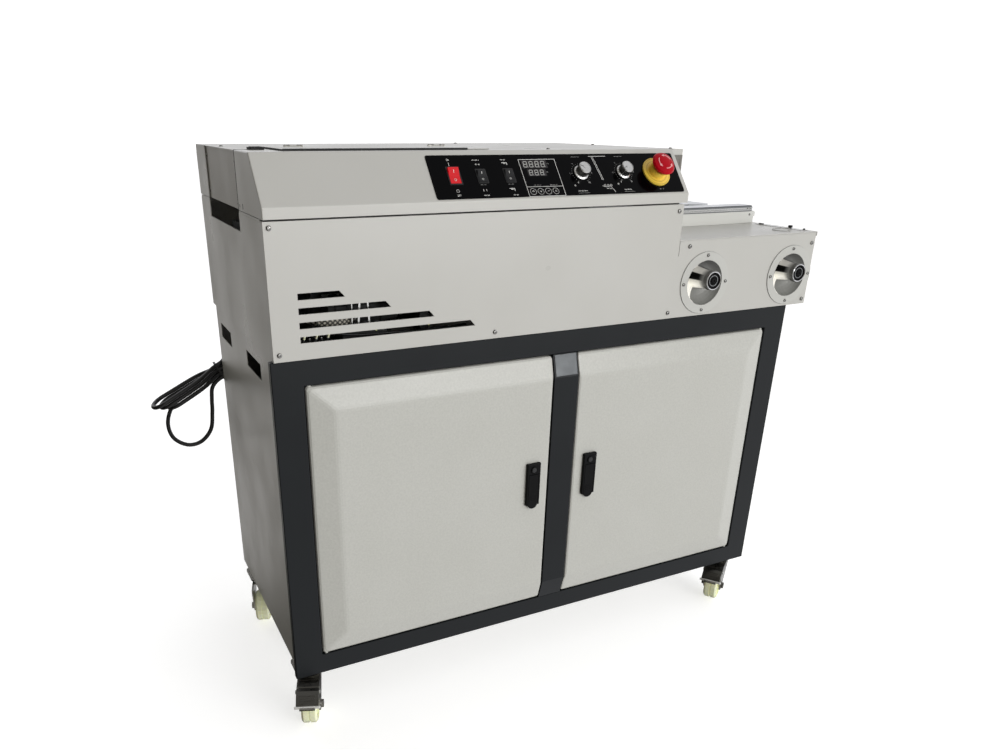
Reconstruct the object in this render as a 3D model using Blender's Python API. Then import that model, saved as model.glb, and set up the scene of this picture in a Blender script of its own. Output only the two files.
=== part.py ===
"""Perfect binding machine on a wheeled cabinet, with a hinged hood lid.

Machine coordinates: X runs right from the stand's left edge, Y runs back from
the face of the stand's front frame, Z runs up from the floor. The root empty
then moves the whole machine so that the middle of its footprint is the origin.
Lengths are metres and angles are degrees.
"""
import math

import bmesh
import bpy
from mathutils import Matrix, Vector

# Driving dimensions
STAND_WIDTH = 1.000
STAND_HEIGHT = 0.5528
STAND_BOTTOM = 0.094
CABINET_REAR = 0.445
HOUSING_LEFT = 0.0056
HOUSING_REAR = 0.451
HOUSING_SPLIT = 0.7176
HOUSING_RIGHT = 1.0427
HIGH_WALL = 0.1926
LOW_WALL = 0.1339
HOOD_TOP_RISE = 0.0843
SHEET = 0.0015
SEAT = 0.0003
FACE_PROUD = 0.0020
OVERRUN = 0.010
MERGE = 0.00001

# Counts of sides and steps on round work
PIN_SIDES = 12
RACE_SIDES = 16
MOTOR_SIDES = 16
WHEEL_SIDES = 20
ROUND_SIDES = 28
ARC_STEPS = 8
CORNER_STEPS = 4
CURVE_STEPS = 24

# Levels that several pieces share
STAND_TOP = STAND_BOTTOM + STAND_HEIGHT
HIGH_TOP = STAND_TOP + HIGH_WALL
TABLE_TOP = STAND_TOP + LOW_WALL
HOOD_TOP = HIGH_TOP + HOOD_TOP_RISE
FLOOR_TOP = STAND_TOP + SEAT + SHEET

# Colours, as sRGB values between 0 and 1
WARM_GREY = (0.78, 0.78, 0.75)
ANTHRACITE = (0.17, 0.18, 0.20)
BLACK = (0.02, 0.02, 0.02)
RED = (0.75, 0.05, 0.04)
YELLOW = (0.93, 0.74, 0.08)
STEEL = (0.60, 0.60, 0.60)
ZINC = (0.35, 0.34, 0.32)
ALUMINIUM = (0.62, 0.63, 0.64)
NYLON = (0.86, 0.85, 0.72)

SPOTS = {}


def in_mm(length):
    """A length in millimetres, for print."""
    return round(length * 1000, 2)


def clear_scene():
    """Remove what the scene starts with."""
    for item in list(bpy.data.objects):
        bpy.data.objects.remove(item, do_unlink=True)


def finish(name, colour, roughness, metallic=0.0):
    """Make one material from a colour, a roughness and a metallic value."""
    made = bpy.data.materials.new(name)
    made.use_nodes = True
    shader = made.node_tree.nodes["Principled BSDF"]
    linear = [c / 12.92 if c <= 0.04045 else ((c + 0.055) / 1.055) ** 2.4 for c in colour]
    shader.inputs["Base Color"].default_value = (*linear, 1.0)
    shader.inputs["Roughness"].default_value = roughness
    shader.inputs["Metallic"].default_value = metallic
    return made


def pivot(name, spot, parent):
    """Put an empty at a spot given in the coordinates that its parent uses."""
    empty = bpy.data.objects.new(name, None)
    bpy.context.scene.collection.objects.link(empty)
    empty.parent = parent
    start = SPOTS[parent.name] if parent else Vector()
    empty.location = Vector(spot) - start
    SPOTS[name] = Vector(spot)
    return empty


def local_frame(name, spot, turn, parent):
    """Put an empty that starts coordinates of its own, turned by Euler angles."""
    empty = pivot(name, spot, parent)
    empty.rotation_euler = turn
    SPOTS[name] = Vector()
    return empty


def place(name, shape, paint, carrier, smooth_angle=None):
    """Turn a closed or sheet-like shape into a named object on its carrier."""
    bmesh.ops.recalc_face_normals(shape, faces=shape.faces[:])
    bmesh.ops.translate(shape, vec=-SPOTS[carrier.name], verts=shape.verts[:])
    mesh = bpy.data.meshes.new(name)
    shape.to_mesh(mesh)
    shape.free()
    if smooth_angle is not None:
        mesh.shade_smooth()
        mesh.set_sharp_from_angle(angle=math.radians(smooth_angle))
    made = bpy.data.objects.new(name, mesh)
    bpy.context.scene.collection.objects.link(made)
    made.parent = carrier
    if paint:
        mesh.materials.append(paint)
    return made


def add_box(shape, low, high):
    """Add a box between two corners."""
    low = Vector(low)
    high = Vector(high)
    made = bmesh.ops.create_cube(shape, size=1)
    middle = (low + high) / 2
    for vert in made["verts"]:
        vert.co = middle + Vector(c * s for c, s in zip(vert.co, high - low))


def add_prism(shape, outline, axis, start, end):
    """Extrude an outline along axis 0, 1 or 2, between two levels."""
    verts = []
    for point in outline:
        corner = list(point)
        corner.insert(axis, start)
        verts.append(shape.verts.new(corner))
    face = shape.faces.new(verts)
    made = bmesh.ops.extrude_face_region(shape, geom=[face])
    moved = [item for item in made["geom"] if isinstance(item, bmesh.types.BMVert)]
    offset = Vector()
    offset[axis] = end - start
    bmesh.ops.translate(shape, vec=offset, verts=moved)


def add_turned(shape, profile, sides, axis, centre):
    """Spin a closed profile of (radius, height) points round an axis through a centre."""
    direction = Vector(axis).normalized()
    across = direction.orthogonal().normalized()
    centre = Vector(centre)
    verts = [shape.verts.new(centre + across * r + direction * h) for r, h in profile]
    edges = []
    for i, vert in enumerate(verts):
        other = verts[(i + 1) % len(verts)]
        on_axis = profile[i][0] == 0 and profile[(i + 1) % len(verts)][0] == 0
        if not on_axis:
            edges.append(shape.edges.new((vert, other)))
    spun = bmesh.ops.spin(
        shape, geom=verts + edges, axis=direction, cent=centre,
        angle=math.tau, steps=sides, use_merge=True)
    bmesh.ops.remove_doubles(shape, verts=shape.verts[:], dist=MERGE)
    return spun


def rod_profile(radius, start, end):
    """The profile of a plain rod between two heights."""
    return [(0, start), (radius, start), (radius, end), (0, end)]


def tube_profile(inner, outer, start, end):
    """The profile of a plain ring between two heights."""
    return [(inner, start), (outer, start), (outer, end), (inner, end)]


def arc(centre, radius, start, end, steps):
    """Points on an arc in a plane, from one angle to another in degrees."""
    points = []
    for i in range(steps + 1):
        angle = math.radians(start + (end - start) * i / steps)
        points.append((centre[0] + radius * math.cos(angle), centre[1] + radius * math.sin(angle)))
    return points


def rounded_rectangle(left, bottom, right, top, radius, steps):
    """The outline of a rectangle with round corners."""
    outline = arc((right - radius, bottom + radius), radius, -90, 0, steps)
    outline += arc((right - radius, top - radius), radius, 0, 90, steps)
    outline += arc((left + radius, top - radius), radius, 90, 180, steps)
    outline += arc((left + radius, bottom + radius), radius, 180, 270, steps)
    return outline


def add_pan(shape, outline, depths, settle):
    """Fold a flat outline's edges over. Each depth is one edge's; settle places (u, v, depth)."""
    count = len(outline)
    made = {}

    def corner(index, depth):
        key = (index % count, depth)
        if key not in made:
            u, v = outline[index % count]
            made[key] = shape.verts.new(settle(u, v, depth))
        return made[key]

    shape.faces.new([corner(i, 0) for i in range(count)])
    for i in range(count):
        depth = depths[i]
        if depth == 0:
            continue
        after = depths[(i + 1) % count]
        before = depths[i - 1]
        ring = [corner(i, 0), corner(i + 1, 0)]
        if 0 < after < depth:
            ring.append(corner(i + 1, after))
        ring += [corner(i + 1, depth), corner(i, depth)]
        if 0 < before < depth:
            ring.append(corner(i, before))
        shape.faces.new(ring)


def thicken(item, thickness):
    """Give a sheet its thickness, inward from its outer face."""
    solid = item.modifiers.new("Sheet thickness", "SOLIDIFY")
    solid.thickness = thickness
    solid.offset = -1
    solid.solidify_mode = "NON_MANIFOLD"
    solid.nonmanifold_thickness_mode = "CONSTRAINTS"
    solid.nonmanifold_merge_threshold = MERGE


def soften(item, width, segments=2, angle=25):
    """Round the edges that turn by more than an angle."""
    bevel = item.modifiers.new("Edge radius", "BEVEL")
    bevel.width = width
    bevel.segments = segments
    bevel.limit_method = "ANGLE"
    bevel.angle_limit = math.radians(angle)


def combine(item, shape, operation, label):
    """Cut a shape from an object, or join it on, with a Boolean."""
    bmesh.ops.recalc_face_normals(shape, faces=shape.faces[:])
    bmesh.ops.translate(shape, vec=-SPOTS[item.parent.name], verts=shape.verts[:])
    mesh = bpy.data.meshes.new(label)
    shape.to_mesh(mesh)
    shape.free()
    tool = bpy.data.objects.new(label, mesh)
    bpy.context.scene.collection.objects.link(tool)
    tool.parent = item.parent
    tool.hide_render = True
    tool.display_type = "WIRE"
    boolean = item.modifiers.new(label, "BOOLEAN")
    boolean.operation = operation
    boolean.solver = "EXACT"
    boolean.object = tool


def cut_boxes(item, boxes, label):
    """Cut several boxes that don't touch each other."""
    shape = bmesh.new()
    for low, high in boxes:
        add_box(shape, low, high)
    combine(item, shape, "DIFFERENCE", label)


def join_boxes(item, boxes, label):
    """Join on several boxes that don't touch each other."""
    shape = bmesh.new()
    for low, high in boxes:
        add_box(shape, low, high)
    combine(item, shape, "UNION", label)


# Stand: front frame, door post and cabinet
FRAME_SIDE = 0.0476
FRAME_TOP_BAR = 0.0397
FRAME_BOTTOM_BAR = 0.0365
FRAME_SHEET = 0.0020
FRAME_OUTER_RETURN = 0.011
FRAME_INNER_RETURN = 0.024
POST_WIDTH = 0.048
POST_PROUD = 0.010
POST_SLOPE = 0.0385
POST_RETURN = 0.022
CABINET_INSET = 0.0089
CABINET_SHEET = 0.0012
CABINET_FLANGE = 0.022
SLOT_HEIGHT = 0.027
SLOT_DROP = 0.0293
SLOT_FRONT_START = 0.104
SLOT_FRONT_LENGTH = 0.098
SLOT_REAR_START = 0.325
SLOT_REAR_LENGTH = 0.088

OPENING_LEFT = FRAME_SIDE
OPENING_RIGHT = STAND_WIDTH - FRAME_SIDE
OPENING_BOTTOM = STAND_BOTTOM + FRAME_BOTTOM_BAR
OPENING_TOP = STAND_TOP - FRAME_TOP_BAR


def stand_frame(carrier, paint):
    """Fold the dark front frame: a ring with returns on its outer and inner edges."""
    shape = bmesh.new()
    outer = [
        (0, STAND_BOTTOM), (STAND_WIDTH, STAND_BOTTOM),
        (STAND_WIDTH, STAND_TOP), (0, STAND_TOP)]
    inner = [
        (OPENING_LEFT, OPENING_BOTTOM), (OPENING_RIGHT, OPENING_BOTTOM),
        (OPENING_RIGHT, OPENING_TOP), (OPENING_LEFT, OPENING_TOP)]
    rings = []
    for outline, depth in (
            (outer, FRAME_OUTER_RETURN), (outer, 0), (inner, 0), (inner, FRAME_INNER_RETURN)):
        rings.append([shape.verts.new((x, depth, z)) for x, z in outline])
    for near, far in zip(rings, rings[1:]):
        for i in range(len(near)):
            j = (i + 1) % len(near)
            shape.faces.new([near[i], near[j], far[j], far[i]])
    made = place("stand_frame", shape, paint, carrier)
    soften(made, FRAME_SHEET / 2, segments=1)
    thicken(made, FRAME_SHEET)


def pillow_pan(shape, left, right, bottom, top, proud, slopes, depth):
    """Add a pressed pan: a raised face, sloped margins and a flange that turns back.

    Slopes are the margins' widths at the left, right, bottom and top.
    """
    rim = [(left, bottom), (right, bottom), (right, top), (left, top)]
    face = [
        (left + slopes[0], bottom + slopes[2]), (right - slopes[1], bottom + slopes[2]),
        (right - slopes[1], top - slopes[3]), (left + slopes[0], top - slopes[3])]
    rings = []
    for outline, level in ((face, -proud), (rim, 0), (rim, depth)):
        rings.append([shape.verts.new((x, level, z)) for x, z in outline])
    shape.faces.new(rings[0])
    for near, far in zip(rings, rings[1:]):
        for i in range(len(near)):
            j = (i + 1) % len(near)
            shape.faces.new([near[i], near[j], far[j], far[i]])


def door_post(carrier, paint):
    """The proud post between the doors, sloped at its head and foot."""
    middle = STAND_WIDTH / 2
    low = OPENING_BOTTOM + SEAT
    high = OPENING_TOP - SEAT
    outline = [
        (POST_RETURN, low), (0, low), (-POST_PROUD, low + POST_SLOPE),
        (-POST_PROUD, high - POST_SLOPE), (0, high), (POST_RETURN, high)]
    shape = bmesh.new()
    add_prism(shape, outline, 0, middle - POST_WIDTH / 2, middle + POST_WIDTH / 2)
    back = max(shape.faces, key=lambda face: face.calc_center_median().y)
    bmesh.ops.delete(shape, geom=[back], context="FACES_ONLY")
    made = place("door_post", shape, paint, carrier)
    thicken(made, FRAME_SHEET)


def stand_cabinet(carrier, paint):
    """The cabinet behind the frame: floor, sides and back, with a flange round its top."""
    left = CABINET_INSET
    right = STAND_WIDTH - CABINET_INSET
    front = FRAME_OUTER_RETURN + SEAT
    shape = bmesh.new()
    add_box(shape, (left, front, STAND_BOTTOM), (right, CABINET_REAR, STAND_TOP))
    shape.faces.ensure_lookup_table()
    top = max(shape.faces, key=lambda face: face.calc_center_median().z)
    near = min(shape.faces, key=lambda face: face.calc_center_median().y)
    bmesh.ops.delete(shape, geom=[near], context="FACES_ONLY")
    bmesh.ops.inset_region(shape, faces=[top], thickness=CABINET_FLANGE, use_boundary=True)
    bmesh.ops.delete(shape, geom=[top], context="FACES_ONLY")
    made = place("stand_cabinet", shape, paint, carrier)
    thicken(made, CABINET_SHEET)
    slot_top = STAND_TOP - SLOT_DROP
    slots = []
    for start, length in (
            (SLOT_FRONT_START, SLOT_FRONT_LENGTH), (SLOT_REAR_START, SLOT_REAR_LENGTH)):
        for side in (left, right):
            slots.append((
                (side - OVERRUN, start, slot_top - SLOT_HEIGHT),
                (side + OVERRUN, start + length, slot_top)))
    cut_boxes(made, slots, "side slots")


# Doors and their latches
DOOR_GAP = 0.0020
DOOR_PROUD = 0.010
DOOR_SLOPE_SIDE = 0.041
DOOR_SLOPE_END = 0.0385
DOOR_FLANGE = 0.018
DOOR_SHEET = 0.0012
DOOR_RADIUS = 0.004
PIN_RADIUS = 0.0030
PIN_INSET = 0.0060
PIN_DEPTH = 0.0045
PIN_ROOT = 0.012
LATCH_WIDTH = 0.0270
LATCH_HEIGHT = 0.080
LATCH_BOTTOM = 0.2465
LATCH_INSET = 0.0193
LATCH_PROUD = 0.0060
LATCH_RADIUS = 0.0015
BARREL_MARGIN = 0.0035
BARREL_DEPTH = 0.020
TONGUE_WIDTH = 0.0200
TONGUE_THICK = 0.0032
TONGUE_PAST = 0.0068
TONGUE_TOP_DROP = 0.021


def door(side, carrier, paint):
    """One pressed door with its hinge pins, on the pivot at its outer edge."""
    left_hand = side == "left"
    post_gap = POST_WIDTH / 2 + DOOR_GAP
    outer = OPENING_LEFT + DOOR_GAP if left_hand else OPENING_RIGHT - DOOR_GAP
    inner = STAND_WIDTH / 2 - post_gap if left_hand else STAND_WIDTH / 2 + post_gap
    toward = 1 if left_hand else -1
    bottom = OPENING_BOTTOM + DOOR_GAP
    top = OPENING_TOP - DOOR_GAP
    pin_x = outer + toward * PIN_INSET
    hinge = pivot(f"door_{side}_pivot", (pin_x, PIN_DEPTH, bottom), carrier)
    shape = bmesh.new()
    slopes = (DOOR_SLOPE_SIDE, 0, DOOR_SLOPE_END, DOOR_SLOPE_END)
    if not left_hand:
        slopes = (0, DOOR_SLOPE_SIDE, DOOR_SLOPE_END, DOOR_SLOPE_END)
    pillow_pan(
        shape, min(outer, inner), max(outer, inner), bottom, top, DOOR_PROUD, slopes, DOOR_FLANGE)
    made = place(f"door_{side}", shape, paint, hinge, smooth_angle=50)
    soften(made, DOOR_RADIUS, segments=2, angle=8)
    thicken(made, DOOR_SHEET)
    pins = bmesh.new()
    for end, sign in ((bottom, -1), (top, 1)):
        reach = end + sign * (DOOR_GAP - SEAT)
        root = end - sign * PIN_ROOT
        add_turned(
            pins, rod_profile(PIN_RADIUS, min(reach, root), max(reach, root)),
            PIN_SIDES, (0, 0, 1), (pin_x, PIN_DEPTH, 0))
    combine(made, pins, "UNION", f"door {side} pins")
    latch_x = inner - toward * (LATCH_INSET + LATCH_WIDTH / 2)
    latch(side, latch_x, made, hinge)


def latch(side, middle, door_object, carrier):
    """A flush pull latch: a body through the door and a tongue that swings out."""
    bottom = STAND_BOTTOM + LATCH_BOTTOM
    top = bottom + LATCH_HEIGHT
    back = -DOOR_PROUD - SEAT
    front = back - LATCH_PROUD
    half = LATCH_WIDTH / 2
    barrel_half = half - BARREL_MARGIN
    barrel_low = bottom + BARREL_MARGIN
    barrel_high = top - BARREL_MARGIN
    cut_boxes(door_object, [(
        (middle - barrel_half - SEAT, -DOOR_PROUD - OVERRUN, barrel_low - SEAT),
        (middle + barrel_half + SEAT, 0, barrel_high + SEAT))], f"latch cut-out {side}")
    body = bmesh.new()
    add_box(body, (middle - half, front, bottom), (middle + half, back, top))
    made = place(f"latch_{side}", body, PAINTS["black"], carrier)
    soften(made, LATCH_RADIUS)
    barrel = bmesh.new()
    add_box(
        barrel, (middle - barrel_half, back - LATCH_PROUD / 2, barrel_low),
        (middle + barrel_half, back + BARREL_DEPTH, barrel_high))
    combine(made, barrel, "UNION", f"latch barrel {side}")
    tongue_top = top - TONGUE_TOP_DROP
    tongue_half = TONGUE_WIDTH / 2
    recess_back = front + TONGUE_THICK + SEAT
    cut_boxes(made, [(
        (middle - tongue_half - SEAT, front - OVERRUN, bottom - OVERRUN),
        (middle + tongue_half + SEAT, recess_back, tongue_top - TONGUE_THICK))],
        f"tongue recess {side}")
    swing = math.hypot(TONGUE_THICK / 2, TONGUE_THICK / 2) + SEAT
    pivot_z = tongue_top - TONGUE_THICK / 2
    cut_boxes(made, [(
        (middle - tongue_half - SEAT, front - OVERRUN, pivot_z - TONGUE_THICK),
        (middle + tongue_half + SEAT, front + TONGUE_THICK / 2 + swing, pivot_z + swing))],
        f"tongue well {side}")
    hinge = pivot(
        f"latch_{side}_pivot",
        (middle, front + TONGUE_THICK / 2, pivot_z), carrier)
    tongue = bmesh.new()
    tip = bottom - TONGUE_PAST
    outline = [(middle + tongue_half, tongue_top), (middle - tongue_half, tongue_top)]
    outline += arc((middle, tip + tongue_half), tongue_half, 180, 360, ARC_STEPS)
    add_prism(tongue, outline, 1, front, front + TONGUE_THICK)
    handle = place(f"latch_{side}_tongue", tongue, PAINTS["black"], hinge)
    soften(handle, TONGUE_THICK / 6, segments=1, angle=40)


# Castors
CASTOR_INSET_X = 0.032
CASTOR_FRONT_Y = 0.034
CASTOR_REAR_Y = 0.380
CASTOR_HEADINGS = {
    "front_left": -111.0, "front_right": -144.5, "rear_left": -108.0, "rear_right": -128.0}
PLATE_SIDE = 0.056
PLATE_THICK = 0.0030
PLATE_CORNER = 0.008
RACE_RADIUS = 0.021
RACE_HEIGHT = 0.0055
KINGPIN_RADIUS = 0.0050
KINGPIN_HEAD = 0.0080
FORK_TOP = 0.0842
FORK_SHEET = 0.0026
FORK_INSIDE = 0.0310
FORK_BACK = 0.022
FORK_FRONT = 0.022
CHEEK_RADIUS = 0.0115
CHEEK_ARC_START = 215.0
CHEEK_ARC_END = 360.0
CHEEK_ARC_STEPS = 6
CHEEK_BACK_DROP = 0.014
TRAIL = 0.030
WHEEL_RADIUS = 0.03175
WHEEL_WIDTH = 0.0270
TREAD_GROOVE = 0.0030
GROOVE_DEPTH = 0.0020
TREAD_CROWN = 0.0035
HUB_RADIUS = 0.0110
RIM_INNER = 0.0245
WEB_INSET = 0.0040
AXLE_RADIUS = 0.0040
NUT_RADIUS = 0.0070
NUT_THICK = 0.0050
BRAKE_PIN_X = 0.050
BRAKE_PIN_DROP = 0.0105
BRAKE_PIN_RADIUS = 0.0025
BRAKE_KNUCKLE = 0.0048
BRAKE_REACH = 0.030
BRAKE_THICK = 0.0024
BRAKE_FALL = 0.014
BRAKE_WIDTH = 0.026


def castor(name, spot_x, spot_y, braked, carrier):
    """One swivel castor: plate with its race and kingpin, fork, wheel, and a brake pedal."""
    frame = local_frame(
        f"castor_{name}_swivel", (spot_x, spot_y, 0),
        (0, 0, math.radians(CASTOR_HEADINGS[name])), carrier)
    plate_top = STAND_BOTTOM - SEAT
    plate_low = plate_top - PLATE_THICK
    race_low = plate_low - RACE_HEIGHT
    plate_frame = local_frame(f"castor_{name}_mount", (spot_x, spot_y, 0), (0, 0, 0), carrier)
    shape = bmesh.new()
    half = PLATE_SIDE / 2
    add_prism(
        shape, rounded_rectangle(-half, -half, half, half, PLATE_CORNER, CORNER_STEPS),
        2, plate_low, plate_top)
    plate = place(f"castor_{name}_plate", shape, PAINTS["zinc"], plate_frame)
    race = bmesh.new()
    below = FORK_TOP - FORK_SHEET - SEAT
    add_turned(
        race, [(0, plate_low + PLATE_THICK / 2), (0, below - KINGPIN_HEAD / 2),
               (KINGPIN_HEAD, below - KINGPIN_HEAD / 2), (KINGPIN_HEAD, below),
               (KINGPIN_RADIUS, below), (KINGPIN_RADIUS, race_low), (RACE_RADIUS, race_low),
               (RACE_RADIUS, plate_low + PLATE_THICK / 2)],
        RACE_SIDES, (0, 0, 1), (0, 0, 0))
    combine(plate, race, "UNION", f"castor race {name}")
    castor_fork(name, frame, race_low)
    castor_wheel(name, frame)
    if braked:
        castor_brake(name, frame)


def castor_fork(name, frame, race_low):
    """The folded fork: a top web, two cheeks that run forward to the axle, and the axle."""
    half = FORK_INSIDE / 2 + FORK_SHEET
    top = FORK_TOP
    shape = bmesh.new()
    cheek = [(-FORK_BACK, top), (-FORK_BACK, top - CHEEK_BACK_DROP)]
    cheek += arc(
        (TRAIL, WHEEL_RADIUS), CHEEK_RADIUS, CHEEK_ARC_START, CHEEK_ARC_END, CHEEK_ARC_STEPS)
    nose = BRAKE_PIN_X + BRAKE_KNUCKLE / 2
    cheek += [
        (nose, top - BRAKE_PIN_DROP - BRAKE_KNUCKLE), (nose, top - BRAKE_KNUCKLE),
        (FORK_FRONT + TRAIL / 3, top)]
    sides = []
    for y in (-half, half):
        verts = [shape.verts.new((x, y, z)) for x, z in cheek]
        shape.faces.new(verts)
        sides.append(verts)
    shape.faces.new([sides[0][0], sides[0][-1], sides[1][-1], sides[1][0]])
    fork = place(f"castor_{name}_fork", shape, PAINTS["zinc"], frame)
    thicken(fork, FORK_SHEET)
    hole = bmesh.new()
    add_turned(
        hole, rod_profile(KINGPIN_RADIUS + SEAT, top - OVERRUN, top + OVERRUN),
        RACE_SIDES, (0, 0, 1), (0, 0, 0))
    combine(fork, hole, "DIFFERENCE", f"kingpin hole {name}")
    axle = bmesh.new()
    reach = half + NUT_THICK
    add_turned(
        axle, [(0, -reach), (NUT_RADIUS, -reach), (NUT_RADIUS, -half + FORK_SHEET / 2),
               (AXLE_RADIUS, -half + FORK_SHEET / 2), (AXLE_RADIUS, half - FORK_SHEET / 2),
               (NUT_RADIUS, half - FORK_SHEET / 2), (NUT_RADIUS, reach), (0, reach)],
        PIN_SIDES, (0, 1, 0), (TRAIL, 0, WHEEL_RADIUS))
    combine(fork, axle, "UNION", f"axle {name}")


def castor_wheel(name, frame):
    """The nylon wheel: two treads with a groove between, a thin web and a hub."""
    hub = pivot(f"castor_{name}_axle", (TRAIL, 0, WHEEL_RADIUS), frame)
    half = WHEEL_WIDTH / 2
    groove = TREAD_GROOVE / 2
    hub_half = FORK_INSIDE / 2 - SEAT
    bore = AXLE_RADIUS + SEAT
    side = [
        (bore, hub_half), (HUB_RADIUS, hub_half), (HUB_RADIUS, half - WEB_INSET),
        (RIM_INNER, half - WEB_INSET), (RIM_INNER, half), (WHEEL_RADIUS - TREAD_CROWN, half),
        (WHEEL_RADIUS, half - TREAD_CROWN), (WHEEL_RADIUS, groove),
        (WHEEL_RADIUS - GROOVE_DEPTH, groove)]
    profile = side + [(r, -h) for r, h in reversed(side)]
    shape = bmesh.new()
    add_turned(shape, profile, WHEEL_SIDES, (0, 1, 0), (TRAIL, 0, WHEEL_RADIUS))
    place(f"castor_{name}_wheel", shape, PAINTS["nylon"], hub, smooth_angle=40)


def castor_brake(name, frame):
    """The brake pedal: a knuckle on a pin between the cheeks and a foot plate that slopes down."""
    pin_z = FORK_TOP - BRAKE_PIN_DROP
    hinge = pivot(f"castor_{name}_brake_pivot", (BRAKE_PIN_X, 0, pin_z), frame)
    half = FORK_INSIDE / 2 - SEAT
    shape = bmesh.new()
    add_turned(
        shape, rod_profile(BRAKE_KNUCKLE, -half, half), PIN_SIDES, (0, 1, 0), (BRAKE_PIN_X, 0, pin_z))
    brake = place(f"castor_{name}_brake", shape, PAINTS["zinc"], hinge)
    pedal = bmesh.new()
    tip = BRAKE_PIN_X + BRAKE_REACH
    outline = [
        (BRAKE_PIN_X, pin_z - BRAKE_THICK / 2), (tip, pin_z - BRAKE_FALL - BRAKE_THICK),
        (tip + BRAKE_THICK, pin_z - BRAKE_FALL), (tip, pin_z - BRAKE_FALL),
        (BRAKE_PIN_X, pin_z + BRAKE_THICK)]
    add_prism(pedal, outline, 1, -BRAKE_WIDTH / 2, BRAKE_WIDTH / 2)
    combine(brake, pedal, "UNION", f"brake pedal {name}")


# Upper housing
NOTCH_FRONT = 0.141
NOTCH_REAR = 0.372
NOTCH_BOTTOM_DROP = 0.0284
BACK_RISE = 0.012
BACK_STEP = 0.0030
VENT_LEFT = 0.0463
VENT_HEIGHT = 0.0093
VENT_PITCH = 0.0205
VENT_TOP = 0.0953
VENT_FIRST = 0.0608
VENT_STEP = 0.0703
VENT_LEAN = 0.0085
VENT_COUNT = 4
STEP_WALL_DEPTH = 0.1385
PANEL_RETURN = 0.010
SLIT_WIDTH = 0.0010
SLIT_HEIGHT = 0.0250
TABLE_OVERHANG = 0.0023
TABLE_LIP = 0.0080

# Dished bezels in the low part of the front panel, and their knobs
DISH_FROM_SPLIT = 0.0664
DISH_FROM_RIGHT = 0.0537
DISH_RISE = 0.0577
DISH_RADIUS = 0.0390
DISH_FLANGE = 0.0540
DISH_DEPTH = 0.0190
DISH_FLOOR = 0.0200
DISH_SHEET = 0.0012
BOWL_STEPS = 6
KNOB_RISE = 0.0070
CONE_TOP = 0.0155
CONE_PROUD = 0.0150
CONE_LIP = 0.0024
KNOB_SHAFT = 0.0060
KNOB_RADIUS = 0.0165
KNOB_FACE = 0.0235
KNOB_LENGTH = 0.0080
KNOB_RING = 0.0138
KNOB_DIP = 0.0015
KNOB_CHAMFER = 0.0012
KNOB_TAIL = 0.030
LOW_TOP = TABLE_TOP - SHEET - SEAT
SIDE_TOP = HIGH_TOP - SHEET - SEAT
DISH_Z = STAND_TOP + DISH_RISE
KNOB_Z = DISH_Z + KNOB_RISE
DISH_CENTRES = (HOUSING_SPLIT + DISH_FROM_SPLIT, HOUSING_RIGHT - DISH_FROM_RIGHT)


def housing_shell(carrier, paint):
    """The tub behind the front panel: a stepped back with a floor and two side walls."""
    left = HOUSING_LEFT
    back_left = left + BACK_STEP
    back_right = HOUSING_SPLIT - BACK_STEP
    bottom = STAND_TOP + SEAT
    outline = [
        (left, SIDE_TOP), (left, bottom), (HOUSING_RIGHT, bottom), (HOUSING_RIGHT, LOW_TOP),
        (HOUSING_SPLIT, LOW_TOP), (back_right, LOW_TOP), (back_right, HIGH_TOP + BACK_RISE),
        (back_left, HIGH_TOP + BACK_RISE), (back_left, SIDE_TOP)]
    rear = HOUSING_REAR - SHEET - SEAT
    depth = rear - SEAT
    depths = [depth, depth, depth, 0, 0, 0, 0, 0, 0]
    shape = bmesh.new()
    add_pan(shape, outline, depths, lambda u, v, w: (u, rear - w, v))
    made = place("housing_shell", shape, paint, carrier)
    thicken(made, SHEET)
    cut_boxes(made, [(
        (left - OVERRUN, NOTCH_FRONT, HIGH_TOP - NOTCH_BOTTOM_DROP),
        (left + OVERRUN, NOTCH_REAR, HIGH_TOP + OVERRUN))], "side notch")


def front_panel(carrier, paint):
    """The stepped front panel, with vent slots, dish holes and folded edges."""
    bottom = STAND_TOP + SEAT
    outline = [
        (HOUSING_LEFT, bottom), (HOUSING_RIGHT, bottom), (HOUSING_RIGHT, LOW_TOP),
        (HOUSING_SPLIT, LOW_TOP), (HOUSING_SPLIT, HIGH_TOP), (HOUSING_LEFT, HIGH_TOP)]
    wall = FACE_PROUD + STEP_WALL_DEPTH
    depths = [0, 0, 0, wall, PANEL_RETURN, 0]
    shape = bmesh.new()
    add_pan(shape, outline, depths, lambda u, v, w: (u, w - FACE_PROUD, v))
    made = place("front_panel", shape, paint, carrier)
    thicken(made, SHEET)
    vents = bmesh.new()
    near = -FACE_PROUD - OVERRUN
    far = OVERRUN
    for i in range(VENT_COUNT):
        top = STAND_TOP + VENT_TOP - i * VENT_PITCH
        right = VENT_LEFT + VENT_FIRST + i * VENT_STEP
        outline = [
            (VENT_LEFT, top - VENT_HEIGHT), (right + VENT_LEAN, top - VENT_HEIGHT),
            (right, top), (VENT_LEFT, top)]
        add_prism(vents, outline, 1, near, far)
    for centre in DISH_CENTRES:
        add_turned(
            vents, rod_profile(DISH_RADIUS + DISH_SHEET + SEAT, near, far), ROUND_SIDES,
            (0, 1, 0), (centre, 0, DISH_Z))
    add_box(
        vents, (HOUSING_SPLIT + SEAT, near, LOW_TOP - SLIT_HEIGHT),
        (HOUSING_SPLIT + SEAT + SLIT_WIDTH, far, LOW_TOP + OVERRUN))
    combine(made, vents, "DIFFERENCE", "vents and dish holes")


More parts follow.
